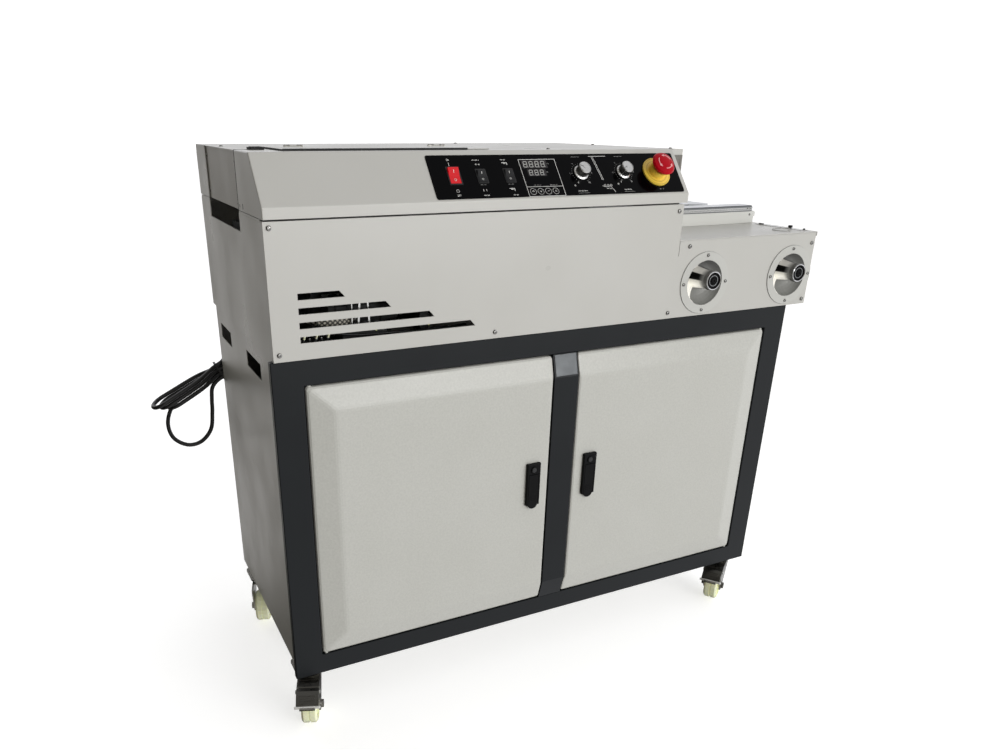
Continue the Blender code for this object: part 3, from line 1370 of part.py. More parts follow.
def drive_motor(carrier):
    """The ribbed drive motor that shows through the vent slots, on a foot."""
    axis_z = STAND_TOP + MOTOR_Z_RISE
    right = MOTOR_LEFT + MOTOR_LENGTH
    inner = MOTOR_RADIUS - MOTOR_END_STEP
    profile = [(0, MOTOR_LEFT), (inner, MOTOR_LEFT), (inner, MOTOR_LEFT + MOTOR_END_CAP)]
    start = MOTOR_LEFT + MOTOR_END_CAP
    span = (MOTOR_LENGTH - MOTOR_END_CAP * 2) / MOTOR_RIBS
    for i in range(MOTOR_RIBS):
        left = start + i * span
        profile += [
            (MOTOR_RADIUS, left), (MOTOR_RADIUS, left + span / 2),
            (MOTOR_RADIUS - RIB_DEPTH, left + span / 2), (MOTOR_RADIUS - RIB_DEPTH, left + span)]
    profile += [(inner, right - MOTOR_END_CAP), (inner, right), (MOTOR_SHAFT, right)]
    profile += [(MOTOR_SHAFT, right + MOTOR_SHAFT_LENGTH), (0, right + MOTOR_SHAFT_LENGTH)]
    shape = bmesh.new()
    add_turned(shape, profile, MOTOR_SIDES, (1, 0, 0), (0, MOTOR_Y, axis_z))
    made = place("drive_motor", shape, PAINTS["grey"], carrier)
    foot = bmesh.new()
    add_prism(
        foot, [(MOTOR_Y - MOTOR_RADIUS, FLOOR_TOP + SEAT), (MOTOR_Y + MOTOR_RADIUS, FLOOR_TOP + SEAT),
               (MOTOR_Y + MOTOR_FOOT_WIDTH / 2, axis_z), (MOTOR_Y - MOTOR_FOOT_WIDTH / 2, axis_z)],
        0, MOTOR_LEFT + MOTOR_END_CAP * 2, right - MOTOR_END_CAP * 2)
    combine(made, foot, "UNION", "motor foot")


# Mains cord
CORD_RADIUS = 0.0040
CORD_SPACING = 0.018
GLAND_X = 0.045
GLAND_DROP = 0.0718
GLAND_NUT = 0.0120
GLAND_NUT_THICK = 0.0070
GLAND_DOME = 0.0085
GLAND_LENGTH = 0.020
GLAND_SHOULDER = 0.016
GLAND_MOUTH = 0.0056
HANK_WAIST_X = 0.005
HANK_WAIST_BEHIND = 0.0290
HANK_WAIST_DROP = 0.1358
HANK_FALL = 27.43
HANK_LEFT = 0.1196
HANK_RIGHT = 0.040
HANK_FOLD = 0.0240
HANK_WAIST_HALF = 0.0040
HANK_DRAW = 0.030
HANK_PITCH = 0.0086
HANK_LOOPS = 3
HANK_START_RISE = 0.0106
LOOP_POINTS = 24
TIE_WIDTH = 0.0045
TIE_THICK = 0.0013
TIE_CLEAR = 0.0006
TIE_SIDE_CLEAR = 0.0018
PLUG_RADIUS = 0.0185
PLUG_LENGTH = 0.036
PLUG_NECK = 0.0070
PLUG_NECK_TOP = 0.0056
PLUG_SHOULDER = 0.0148
PLUG_NECK_LENGTH = 0.018
PLUG_PIN_RADIUS = 0.0024
PLUG_PIN_LENGTH = 0.019
PLUG_PIN_SPACING = 0.019

# The cord's loose stretches: places right of the stand's left edge, behind the
# cabinet's back and above the stand's top
LEAD_ROUTE = ((0.0445, 0.0430, -0.0768), (0.0410, 0.0480, -0.0948), (0.0300, 0.0390, -0.1108))
TAIL_ROUTE = (
    (-0.0010, 0.0250, -0.1658), (-0.0085, 0.0250, -0.1908), (-0.0100, 0.0250, -0.2168),
    (-0.0220, 0.0260, -0.2568), (-0.0450, 0.0280, -0.2798), (-0.0720, 0.0320, -0.2838),
    (-0.0960, 0.0410, -0.2678), (-0.1010, 0.0540, -0.2398), (-0.0870, 0.0660, -0.2108),
    (-0.0595, 0.0690, -0.1868), (-0.0250, 0.0690, -0.1678), (0.0100, 0.0670, -0.1538),
    (0.0380, 0.0610, -0.1538), (0.0560, 0.0530, -0.1768), (0.0600, 0.0450, -0.2118),
    (0.0600, 0.0430, -0.2468), (0.0600, 0.0430, -0.2868), (0.0600, 0.0430, -0.2948))

CORD_CORNER = Vector((0, CABINET_REAR, STAND_TOP))
HANK_WAIST = CORD_CORNER + Vector((HANK_WAIST_X, HANK_WAIST_BEHIND, -HANK_WAIST_DROP))
GLAND_Z = STAND_TOP - GLAND_DROP


def hank_place(along, across, stack):
    """A point given along the hank, across it and up its stack of loops."""
    turn = math.radians(HANK_FALL)
    return HANK_WAIST + Vector((
        -along * math.cos(turn) - stack * math.sin(turn), across,
        -along * math.sin(turn) + stack * math.cos(turn)))


def hank_flat(share):
    """A place on the flat loop, at a share of one lap that starts at the waist's front run."""
    run = HANK_LEFT + HANK_RIGHT
    bend = math.pi * HANK_FOLD
    lap = 2 * (run + bend)
    far = (share % 1.0) * lap
    if far < HANK_LEFT:
        along, across = far, -HANK_FOLD
    elif far < HANK_LEFT + bend:
        angle = (far - HANK_LEFT) / HANK_FOLD
        along = HANK_LEFT + HANK_FOLD * math.sin(angle)
        across = -HANK_FOLD * math.cos(angle)
    elif far < HANK_LEFT + bend + run:
        along, across = HANK_LEFT - (far - HANK_LEFT - bend), HANK_FOLD
    elif far < HANK_LEFT + 2 * bend + run:
        angle = (far - HANK_LEFT - bend - run) / HANK_FOLD
        along = -HANK_RIGHT - HANK_FOLD * math.sin(angle)
        across = HANK_FOLD * math.cos(angle)
    else:
        along, across = far - lap, -HANK_FOLD
    waist_share = HANK_WAIST_HALF / HANK_FOLD
    drawn = 1 - (1 - waist_share) * math.exp(-(along / HANK_DRAW) ** 2)
    return along, across * drawn


def hank_points():
    """The hank's centre line: laps that step down by one pitch each, straight at both ends."""
    points = []
    total = HANK_LOOPS * LOOP_POINTS
    straight = hank_place(CORD_RADIUS * 2, 0, 0) - hank_place(0, 0, 0)
    for i in range(total + 1):
        share = i / LOOP_POINTS
        along, across = hank_flat(share)
        points.append(hank_place(along, across, HANK_START_RISE - HANK_PITCH * share))
    return points[:1] + [points[0] + straight] + points[1:-1] + [points[-1] - straight] + points[-1:]


def smooth_route(points, spacing):
    """Evenly spaced points on a smooth curve through a route, with both end stretches straight."""
    slopes = [(after - before) / 2 for before, after in zip(points, points[2:])]
    slopes[0] = (points[1] - points[0]).normalized() * (points[2] - points[1]).length
    slopes[-1] = (points[-1] - points[-2]).normalized() * (points[-2] - points[-3]).length
    middle = points[1:-1]
    fine = []
    for i in range(len(middle) - 1):
        here, there = middle[i], middle[i + 1]
        start, end = slopes[i], slopes[i + 1]
        for step in range(CURVE_STEPS):
            t = step / CURVE_STEPS
            fine.append(
                here * (2 * t ** 3 - 3 * t ** 2 + 1) + start * (t ** 3 - 2 * t ** 2 + t)
                + there * (3 * t ** 2 - 2 * t ** 3) + end * (t ** 3 - t ** 2))
    fine.append(middle[-1])
    lengths = [0.0]
    for near, far in zip(fine, fine[1:]):
        lengths.append(lengths[-1] + (far - near).length)
    count = max(2, round(lengths[-1] / spacing))
    route = [points[0]]
    j = 0
    for i in range(count + 1):
        goal = lengths[-1] * i / count
        while j < len(fine) - 2 and lengths[j + 1] < goal:
            j += 1
        part = (goal - lengths[j]) / (lengths[j + 1] - lengths[j])
        route.append(fine[j].lerp(fine[j + 1], min(1.0, max(0.0, part))))
    return route + [points[-1]]


def cord_piece(name, points, resolution, carrier):
    """A tube along points in machine coordinates."""
    curve = bpy.data.curves.new(name, "CURVE")
    curve.dimensions = "3D"
    curve.bevel_depth = CORD_RADIUS
    curve.bevel_resolution = resolution
    curve.use_fill_caps = True
    spline = curve.splines.new("POLY")
    spline.points.add(len(points) - 1)
    for slot, point in zip(spline.points, points):
        slot.co = (*point, 1.0)
    curve.materials.append(PAINTS["black"])
    made = bpy.data.objects.new(name, curve)
    bpy.context.scene.collection.objects.link(made)
    made.parent = carrier


def least_gap(points, skip):
    """The least gap of a tube to itself, between stretches at least skip points apart."""
    least = math.inf
    for i, one in enumerate(points):
        for other in points[i + skip:]:
            least = min(least, (one - other).length - 2 * CORD_RADIUS)
    return least


def cord(carrier):
    """The mains cord: gland, lead, hank, tail with a loose loop, tie and plug."""
    gland = bmesh.new()
    back = CABINET_REAR + SEAT
    add_turned(
        gland, [(0, back), (GLAND_NUT, back), (GLAND_NUT, back + GLAND_NUT_THICK),
                (GLAND_DOME, back + GLAND_NUT_THICK), (GLAND_DOME, back + GLAND_SHOULDER),
                (GLAND_MOUTH, back + GLAND_LENGTH), (0, back + GLAND_LENGTH)],
        PIN_SIDES, (0, 1, 0), (GLAND_X, 0, GLAND_Z))
    place("cord_gland", gland, PAINTS["black"], carrier)
    straight = CORD_RADIUS * 2
    hank = hank_points()
    print("hank, least gap to itself in mm:", in_mm(least_gap(hank, LOOP_POINTS // 2)))
    cord_piece("cord_hank", hank, 1, carrier)
    along = hank_place(1, 0, 0) - hank_place(0, 0, 0)
    start = hank[0] - along * SEAT
    exit_spot = Vector((GLAND_X, back + GLAND_LENGTH + SEAT, GLAND_Z))
    lead = [exit_spot, exit_spot + Vector((0, straight, 0))]
    lead += [CORD_CORNER + Vector(place) for place in LEAD_ROUTE]
    lead += [start - along * straight, start]
    cord_piece("cord_lead", smooth_route(lead, CORD_SPACING), 2, carrier)
    finish_spot = hank[-1] + along * SEAT
    tail = [finish_spot, finish_spot + along * straight]
    tail += [CORD_CORNER + Vector(place) for place in TAIL_ROUTE]
    cord_piece("cord_tail", smooth_route(tail, CORD_SPACING), 2, carrier)
    cord_tie(carrier)
    cord_plug(tail[-1], carrier)


def cord_tie(carrier):
    """The tie round the hank's waist."""
    half = HANK_WAIST_HALF + CORD_RADIUS + TIE_SIDE_CLEAR
    top = HANK_START_RISE + CORD_RADIUS + TIE_CLEAR
    low = HANK_START_RISE - HANK_LOOPS * HANK_PITCH - CORD_RADIUS - TIE_CLEAR
    corner = CORD_RADIUS
    inner = rounded_rectangle(-half, low, half, top, corner, CORNER_STEPS)
    outer = rounded_rectangle(
        -half - TIE_THICK, low - TIE_THICK, half + TIE_THICK, top + TIE_THICK,
        corner + TIE_THICK, CORNER_STEPS)
    shape = bmesh.new()
    rings = []
    near_end = -TIE_WIDTH / 2
    far_end = TIE_WIDTH / 2
    for outline, reach in (
            (inner, near_end), (outer, near_end), (outer, far_end), (inner, far_end)):
        rings.append([shape.verts.new(hank_place(reach, y, s)) for y, s in outline])
    for near, far in zip(rings, rings[1:] + rings[:1]):
        for i in range(len(near)):
            j = (i + 1) % len(near)
            shape.faces.new([near[i], near[j], far[j], far[i]])
    place("cord_tie", shape, PAINTS["black"], carrier)


def cord_plug(end, carrier):
    """The plug at the tail's end: a neck, a round body and two pins."""
    top = end.z - SEAT
    body_top = top - PLUG_NECK_LENGTH
    low = body_top - PLUG_LENGTH
    shape = bmesh.new()
    add_turned(
        shape, [(0, top), (PLUG_NECK_TOP, top), (PLUG_NECK, body_top), (PLUG_SHOULDER, body_top),
                (PLUG_RADIUS, body_top - PLUG_LENGTH / 4), (PLUG_RADIUS, low), (0, low)],
        PIN_SIDES * 2, (0, 0, 1), (end.x, end.y, 0))
    made = place("cord_plug", shape, PAINTS["black"], carrier, smooth_angle=35)
    pins = bmesh.new()
    for side in (-1, 1):
        add_turned(
            pins, rod_profile(PLUG_PIN_RADIUS, low - PLUG_PIN_LENGTH, low + PLUG_PIN_RADIUS),
            PIN_SIDES, (0, 0, 1), (end.x + side * PLUG_PIN_SPACING / 2, end.y, 0))
    combine(made, pins, "UNION", "plug pins")


def centre_on_footprint(root):
    """Move the root so that the middle of the rigid pieces' bounds is over the origin."""
    bpy.context.view_layer.update()
    graph = bpy.context.evaluated_depsgraph_get()
    low = Vector((math.inf,) * 3)
    high = -low
    for item in bpy.context.scene.objects:
        if item.type != "MESH" or item.hide_render or item.name.startswith("cord_"):
            continue
        shaped = item.evaluated_get(graph)
        for corner in shaped.data.vertices:
            spot = shaped.matrix_world @ corner.co
            low = Vector(map(min, low, spot))
            high = Vector(map(max, high, spot))
    middle = (low + high) / 2
    root.location = (-middle.x, -middle.y, -low.z)
    bpy.context.view_layer.update()
    print("size in mm:", [in_mm(v) for v in high - low])
    print("root in mm:", [in_mm(v) for v in root.location])


clear_scene()
PAINTS = {
    "body": finish("warm grey paint", WARM_GREY, 0.45),
    "frame": finish("anthracite paint", ANTHRACITE, 0.45),
    "black": finish("black plastic", BLACK, 0.45),
    "gloss_black": finish("black overlay", BLACK, 0.20),
    "red": finish("red plastic", RED, 0.35),
    "yellow": finish("yellow plastic", YELLOW, 0.40),
    "steel": finish("steel", STEEL, 0.25, 1.0),
    "zinc": finish("zinc plate", ZINC, 0.40, 1.0),
    "aluminium": finish("aluminium", ALUMINIUM, 0.35, 1.0),
    "grey": finish("grey paint", STEEL, 0.50),
    "nylon": finish("nylon", NYLON, 0.40),
}
machine = pivot("binding_machine", (0, 0, 0), None)
stand_frame(machine, PAINTS["frame"])
door_post(machine, PAINTS["frame"])
stand_cabinet(machine, PAINTS["body"])
door("left", machine, PAINTS["body"])
door("right", machine, PAINTS["body"])
castor("front_left", CASTOR_INSET_X, CASTOR_FRONT_Y, True, machine)
castor("front_right", STAND_WIDTH - CASTOR_INSET_X, CASTOR_FRONT_Y, True, machine)
castor("rear_left", CASTOR_INSET_X, CASTOR_REAR_Y, False, machine)
castor("rear_right", STAND_WIDTH - CASTOR_INSET_X, CASTOR_REAR_Y, False, machine)
housing_shell(machine, PAINTS["body"])
front_panel(machine, PAINTS["body"])
step_table(machine, PAINTS["body"])
for number, middle_x in enumerate(DISH_CENTRES, 1):
    bezel(number, middle_x, machine)
    adjust_knob(number, middle_x, machine)
front_cover = hood_front(machine, PAINTS["body"])
hood_body(machine, PAINTS["body"])
end_cover(machine, PAINTS["body"])
hood_lid(machine, PAINTS["body"])
slope_plane = local_frame(
    "slope_plane", (0, HOOD_LIP_Y, FOLD_Z), (SLOPE_ANGLE, 0, 0), machine)
control_panel(slope_plane, front_cover)
nip_box(machine, PAINTS["body"])
nip_jaw(machine)
guide_rail(machine)
clamp_carriage(machine)
milling_cutter(machine)
glue_tank(machine)
drive_motor(machine)
cord(machine)
centre_on_footprint(machine)
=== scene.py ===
# %% [markdown]
# # A perfect binding machine, dressed for its picture
#
# A perfect binder glues a soft cover round a block of loose sheets. The block is
# held in a clamp, its spine is roughened by a milling cutter, a roller lays hot
# glue on it, and the cover is nipped on at the low station on the right.
#
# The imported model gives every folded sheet, casting and knob in its real place.
# This lesson adds what a model for fitting and collision leaves out: paint and
# plating, print, screws, wiring, and the small things that make the machine look
# made. Nothing is moved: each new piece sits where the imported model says.

import math

import bmesh
import bpy
from mathutils import Matrix, Vector


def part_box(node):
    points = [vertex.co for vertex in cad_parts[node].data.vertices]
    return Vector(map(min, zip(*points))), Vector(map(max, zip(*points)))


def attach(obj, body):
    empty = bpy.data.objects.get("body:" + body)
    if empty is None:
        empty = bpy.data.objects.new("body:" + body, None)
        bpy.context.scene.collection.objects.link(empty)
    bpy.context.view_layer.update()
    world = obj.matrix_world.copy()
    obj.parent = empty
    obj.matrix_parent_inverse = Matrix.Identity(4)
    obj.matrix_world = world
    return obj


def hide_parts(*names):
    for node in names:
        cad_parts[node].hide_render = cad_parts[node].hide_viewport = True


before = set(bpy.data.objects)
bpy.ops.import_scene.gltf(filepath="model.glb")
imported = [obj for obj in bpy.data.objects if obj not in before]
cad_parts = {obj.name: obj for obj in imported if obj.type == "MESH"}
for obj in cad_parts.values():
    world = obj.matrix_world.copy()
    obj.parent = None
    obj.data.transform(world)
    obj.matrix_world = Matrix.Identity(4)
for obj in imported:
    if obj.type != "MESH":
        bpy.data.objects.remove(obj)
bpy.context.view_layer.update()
scene = bpy.context.scene

# %% [markdown]
# ## One set of coordinates
#
# A sheet-metal drawing is measured from the stand's left front corner at floor
# level: X to the right, Y to the rear, Z up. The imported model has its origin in
# the middle of the machine, so one helper turns drawing lengths into places. A
# second one does the same for the sloping control face, where X runs along the
# hood, Y up the slope and Z off its face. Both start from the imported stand. Two
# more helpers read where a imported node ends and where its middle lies.

# %% Places on the drawing and on the slope
STAND_BOTTOM = 0.094
# Which corner of a node's box a side belongs to, and along which axis it is read.
SIDES = {"left": (0, 0), "front": (0, 1), "rear": (1, 1), "top": (1, 2)}

stand_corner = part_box("stand_frame")[0]
DRAWING = Matrix.Translation(stand_corner - Vector((0, 0, STAND_BOTTOM)))


def spot(x, y, z):
    """A place on the drawing, as a place in the scene."""
    return DRAWING @ Vector((x, y, z))


def side_of(name, side):
    """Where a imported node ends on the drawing, to a tenth of a millimetre."""
    corner, axis = SIDES[side]
    return round((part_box(name)[corner] - spot(0, 0, 0))[axis], 4)


def middle_of(name):
    """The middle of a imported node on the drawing, to a tenth of a millimetre."""
    low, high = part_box(name)
    return [round(v, 4) for v in (low + high) / 2 - spot(0, 0, 0)]


def placed(place, turn=0.0, axis="X"):
    """A seat moved to a place and turned round one axis."""
    return Matrix.Translation(place) @ Matrix.Rotation(turn, 4, axis)


TABLE_TOP = side_of("step_table", "top")
HOOD_TOP = side_of("hood_body", "top")
SLOPE_START = (-0.0040, 0.8570)
SLOPE_END = (side_of("hood_body", "front"), HOOD_TOP)
SLOPE_ANGLE = math.atan2(SLOPE_END[1] - SLOPE_START[1], SLOPE_END[0] - SLOPE_START[0])
SLOPE = DRAWING @ placed((0, *SLOPE_START), SLOPE_ANGLE)


def on_slope(x, up, off):
    """A place on the control face, as a place in the scene."""
    return SLOPE @ Vector((x, up, off))


print("table and hood tops:", TABLE_TOP, HOOD_TOP)
print("slope in degrees:", round(math.degrees(SLOPE_ANGLE), 1))

# %% [markdown]
# ## The camera
#
# The photograph was taken from the front left, a little above the hood, with a
# wide lens tilted down by 24 degrees. Its place and lens come from the picture's
# vanishing points, worked out from edges of the machine. The lens shift stands
# for the crop: the machine isn't in the middle of the frame.

# %% Set the camera
CAMERA_SPOT = (-0.2482, -1.1023, 0.9632)
CAMERA_TURN = math.radians(-25.98)
CAMERA_TILT = math.radians(90 - 23.89)
CAMERA_ROLL = math.radians(0.52)
LENS_MM = 28.78
SENSOR_MM = 36.0
SHIFT = (0.0482, 0.1005)

lens = bpy.data.cameras.new("photo_lens")
lens.sensor_width = SENSOR_MM
lens.lens = LENS_MM
lens.shift_x, lens.shift_y = SHIFT
lens.clip_start = 0.01
camera = bpy.data.objects.new("photo_camera", lens)
scene.collection.objects.link(camera)
camera.matrix_world = (
    placed(spot(*CAMERA_SPOT), CAMERA_TURN, "Z") @ Matrix.Rotation(CAMERA_TILT, 4, "X")
    @ Matrix.Rotation(CAMERA_ROLL, 4, "Z"))
scene.camera = camera
print("camera at", [round(v, 3) for v in camera.location])

# %% [markdown]
# ## Finishes: a few small tools
#
# A finish is a shader with a handful of nodes. One function adds a node with its
# settings and links, so that each finish below reads like a recipe. Colours are
# written as the hex values that a paint chart or a picture gives, and one
# function turns them into the linear light that the renderer counts in. Pattern
# sizes are in millimetres: a texture's scale is the number of repeats in a metre.

# %% Small tools for finishes
MM = 0.001


def linear(code):
    """An sRGB hex colour as linear red, green, blue and alpha."""
    parts = [int(code[i:i + 2], 16) / 255 for i in (1, 3, 5)]
    return [c / 12.92 if c <= 0.04045 else ((c + 0.055) / 1.055) ** 2.4 for c in parts] + [1.0]


def node(tree, kind, inputs=None, **settings):
    """Add one node. An input is given a value, or another node's output to link."""
    made = tree.nodes.new("ShaderNode" + kind)
    for key, value in settings.items():
        setattr(made, key, value)
    for key, value in (inputs or {}).items():
        if isinstance(value, bpy.types.NodeSocket):
            tree.links.new(value, made.inputs[key])
        else:
            made.inputs[key].default_value = value
    return made


def repeats(millimetres):
    """The texture scale that makes a pattern of this size."""
    return 1000.0 / millimetres


def new_finish(name, slot, colour, roughness, metallic=0.0, **sockets):
    """Start a finish; the slot argument is not used. Returns it, its nodes and its shader."""
    made = bpy.data.materials.new(name)
    made.use_nodes = True
    tree = made.node_tree
    shader = tree.nodes["Principled BSDF"]
    shader.inputs["Base Color"].default_value = linear(colour)
    shader.inputs["Roughness"].default_value = roughness
    shader.inputs["Metallic"].default_value = metallic
    for key, value in sockets.items():
        shader.inputs[key.replace("_", " ")].default_value = value
    return made, tree, shader


def work_surface(tree, shader, marks_mm, depth_mm, gloss, swing, stretch=(1, 1, 1), cloud_mm=25.0):
    """Give a finish its relief and an uneven shine. Returns the marks and the clouds."""
    place = node(tree, "TexCoord").outputs["Object"]
    drawn = node(tree, "Mapping", {"Vector": place, "Scale": stretch}).outputs[0]
    marks = node(tree, "TexNoise", {"Vector": drawn, "Scale": repeats(marks_mm)}).outputs[0]
    bump = node(tree, "Bump", {"Height": marks, "Distance": depth_mm * MM, "Strength": 1.0})
    clouds = node(tree, "TexNoise", {"Vector": place, "Scale": repeats(cloud_mm)}).outputs[0]
    shine = node(tree, "MapRange", {
        "Value": clouds, "From Min": 0.3, "From Max": 0.7,
        "To Min": gloss - swing, "To Max": gloss + swing})
    tree.links.new(bump.outputs[0], shader.inputs["Normal"])
    tree.links.new(shine.outputs[0], shader.inputs["Roughness"])
    return marks, clouds

# %% [markdown]
# ## Making a piece
#
# A piece is drawn as points and faces straight in the scene's coordinates, given
# its finish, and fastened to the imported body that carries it. The helpers below
# are the maker's tools: a box, an outline with a thickness, a shape turned on a
# lathe and a bent rod. A piece is only ever a few of these with worked edges.

# %% Keep a piece
BEVEL_FROM = math.radians(35)


def keep(name, shape, finish, body, smooth=None, edge=None, segments=2):
    """Turn a shape into a named piece with a finish, on the body that carries it."""
    bmesh.ops.recalc_face_normals(shape, faces=shape.faces[:])
    mesh = bpy.data.meshes.new(name)
    shape.to_mesh(mesh)
    shape.free()
    mesh.materials.append(finish)
    if smooth is not None:
        mesh.shade_smooth()
        mesh.set_sharp_from_angle(angle=math.radians(smooth))
    piece = bpy.data.objects.new(name, mesh)
    scene.collection.objects.link(piece)
    if edge:
        bevel = piece.modifiers.new("worked edge", "BEVEL")
        bevel.width = edge
        bevel.segments = segments
        bevel.limit_method = "ANGLE"
        bevel.angle_limit = BEVEL_FROM
    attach(piece, body)


# %% Boxes, outlines and turned shapes
def put_box(shape, low, high, seat=DRAWING):
    """Add a box between two corners, given in a seat's coordinates."""
    low, high = Vector(low), Vector(high)
    made = bmesh.ops.create_cube(shape, size=1)
    for vert in made["verts"]:
        vert.co = seat @ ((low + high) / 2 + Vector(c * s for c, s in zip(vert.co, high - low)))


def put_ring_walls(shape, rings):
    """Join rings of points into walls."""
    for near, far in zip(rings, rings[1:]):
        for i in range(len(near)):
            j = (i + 1) % len(near)
            shape.faces.new([near[i], near[j], far[j], far[i]])


def put_outline(shape, outline, low, high, seat=DRAWING, axis=2):
    """Add a solid from an outline drawn across an axis, between two levels on it."""
    rings = []
    for level in (low, high):
        ring = []
        for point in outline:
            corner = list(point)
            corner.insert(axis, level)
            ring.append(shape.verts.new(seat @ Vector(corner)))
        rings.append(ring)
    shape.faces.new(rings[0])
    shape.faces.new(rings[1])
    put_ring_walls(shape, rings)


def polar(middle, radius, turn):
    """A point in a plane, by its distance from a middle and its angle."""
    return middle[0] + radius * math.cos(turn), middle[1] + radius * math.sin(turn)


def put_ring(shape, seat, radius, height, sides):
    """Add a ring of points round the seat's Z axis."""
    turns = [math.tau * i / sides for i in range(sides)]
    return [shape.verts.new(seat @ Vector((*polar((0, 0), radius, t), height))) for t in turns]


def put_turned(shape, profile, seat, sides=24):
    """Add a shape turned round the seat's Z axis, from (radius, height) points."""
    rings = []
    for radius, height in profile:
        rings.append(put_ring(shape, seat, radius, height, sides if radius else 1))
    for near, far in zip(rings, rings[1:]):
        for i in range(sides):
            j = (i + 1) % sides
            corners = (near[i % len(near)], near[j % len(near)],
                       far[j % len(far)], far[i % len(far)])
            unique = list(dict.fromkeys(corners))
            if len(unique) > 2:
                shape.faces.new(unique)


# %% Rods, seats and points in a plane
def bent_rod(name, points, radius, finish, body, resolution=4):
    """A rod, wire or hose along a line of places in the scene."""
    line = bpy.data.curves.new(name, "CURVE")
    line.dimensions = "3D"
    line.bevel_depth = radius
    line.bevel_resolution = resolution
    line.use_fill_caps = True
    path = line.splines.new("POLY")
    path.points.add(len(points) - 1)
    for point, place in zip(path.points, points):
        point.co = (*place, 1.0)
    line.materials.append(finish)
    piece = bpy.data.objects.new(name, line)
    scene.collection.objects.link(piece)
    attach(piece, body)
    return piece


def facing(place, normal, turn=0.0):
    """A seat at a place whose Z axis points along a normal."""
    upright = Vector(normal).to_track_quat("Z", "Y").to_matrix().to_4x4()
    return Matrix.Translation(place) @ upright @ Matrix.Rotation(turn, 4, "Z")


def arc(middle, radius, start, end, steps):
    """Points on an arc in a plane, from one angle to another in degrees."""
    turns = [math.radians(start + (end - start) * i / steps) for i in range(steps + 1)]
    return [polar(middle, radius, turn) for turn in turns]


def rectangle(left, low, right, high):
    """The four corners of an upright rectangle in a plane."""
    return [(left, low), (right, low), (right, high), (left, high)]


# %% Pieces in one go
def outlined(name, finish, solids, axis=0, body="machine", **edges):
    """A piece made of outlines on the drawing, each with its two levels."""
    shape = bmesh.new()
    for outline, low, high in solids:
        put_outline(shape, outline, low, high, axis=axis)
    keep(name, shape, finish, body, **edges)


def turned_piece(name, finish, body, profile, seat, sides=24, smooth=40):
    """A piece that is one shape turned on a lathe."""
    shape = bmesh.new()
    put_turned(shape, profile, seat, sides)
    keep(name, shape, finish, body, smooth=smooth)


# %% [markdown]
# ## The mains cord
#
# The cord is 8 mm round flexible PVC. It leaves the cabinet's back through a
# gland, is wound into a hank that hangs at the left rear corner with a tie round
# its waist, and its tail drops in one loose loop and hangs back to the plug. It
# is a curve with a round section, because a curve keeps its thickness through
# every bend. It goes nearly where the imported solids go, with wider bends after the
# gland and below the hank, and with later laps that are a little shorter.

# %% The cord's sheath
SHEATH, sheath_nodes, sheath_shader = new_finish(
    "black_pvc_cord_sheath", "cord", "#161616", 0.42, IOR=1.53)
# Extruded PVC has a dull shine with faint ripples along it from the twisted cores.
work_surface(sheath_nodes, sheath_shader, 6.0, 0.10, 0.43, 0.07)
print("sheath's nodes:", len(sheath_nodes.nodes))

# %% The cord's route
CORD_RADIUS = 0.0040
GLAND = (0.045, 0.4656, 0.575)
HANK_WAIST = Vector((0.005, 0.474, 0.511))
HANK_FALL = math.radians(27.43)
HANK_LEFT = 0.1196
HANK_LEFT_STEP = 0.0115
HANK_RIGHT = 0.040
HANK_FOLD = 0.0240
HANK_WAIST_HALF = 0.0040
HANK_DRAW = 0.030
HANK_PITCH = 0.0086
HANK_LOOPS = 3
HANK_START_RISE = 0.0106
LOOP_POINTS = 72
CURVE_STEPS = 8
LEAD = ((0.0441, 0.4883, 0.5686), (0.0395, 0.4947, 0.5560), (0.0309, 0.4903, 0.5425))
TAIL = (
    (-0.0110, 0.4700, 0.4780), (-0.0150, 0.4700, 0.4540), (-0.0170, 0.4700, 0.4270),
    (-0.0235, 0.4710, 0.3910), (-0.0450, 0.4730, 0.3670), (-0.0720, 0.4770, 0.3630),
    (-0.0960, 0.4860, 0.3790), (-0.1010, 0.4990, 0.4070), (-0.0870, 0.5110, 0.4360),
    (-0.0595, 0.5140, 0.4600), (-0.0250, 0.5140, 0.4790), (0.0100, 0.5120, 0.4930),
    (0.0380, 0.5060, 0.4930), (0.0560, 0.4980, 0.4700), (0.0600, 0.4900, 0.4350),
    (0.0600, 0.4880, 0.4000), (0.0600, 0.4880, 0.3600), (0.0600, 0.4880, 0.3520))


def hank_place(along, across, stack):
    """A place on the drawing, given along the hank, across it and up its stack of laps."""
    return HANK_WAIST + Vector((
        -along * math.cos(HANK_FALL) - stack * math.sin(HANK_FALL), across,
        -along * math.sin(HANK_FALL) + stack * math.cos(HANK_FALL)))


def hank_flat(share, reach):
    """A place on a flat lap of some reach, at a share of it from the waist's front run."""
    run = reach + HANK_RIGHT
    bend = math.pi * HANK_FOLD
    lap = 2 * (run + bend)
    far = (share % 1.0) * lap
    if far < reach:
        along, across = far, -HANK_FOLD
    elif far < reach + bend:
        angle = (far - reach) / HANK_FOLD
        along = reach + HANK_FOLD * math.sin(angle)
        across = -HANK_FOLD * math.cos(angle)
    elif far < reach + bend + run:
        along, across = reach - (far - reach - bend), HANK_FOLD
    elif far < reach + 2 * bend + run:
        angle = (far - reach - bend - run) / HANK_FOLD
        along = -HANK_RIGHT - HANK_FOLD * math.sin(angle)
        across = HANK_FOLD * math.cos(angle)
    else:
        along, across = far - lap, -HANK_FOLD
    drawn = 1 - (1 - HANK_WAIST_HALF / HANK_FOLD) * math.exp(-(along / HANK_DRAW) ** 2)
    return along, across * drawn


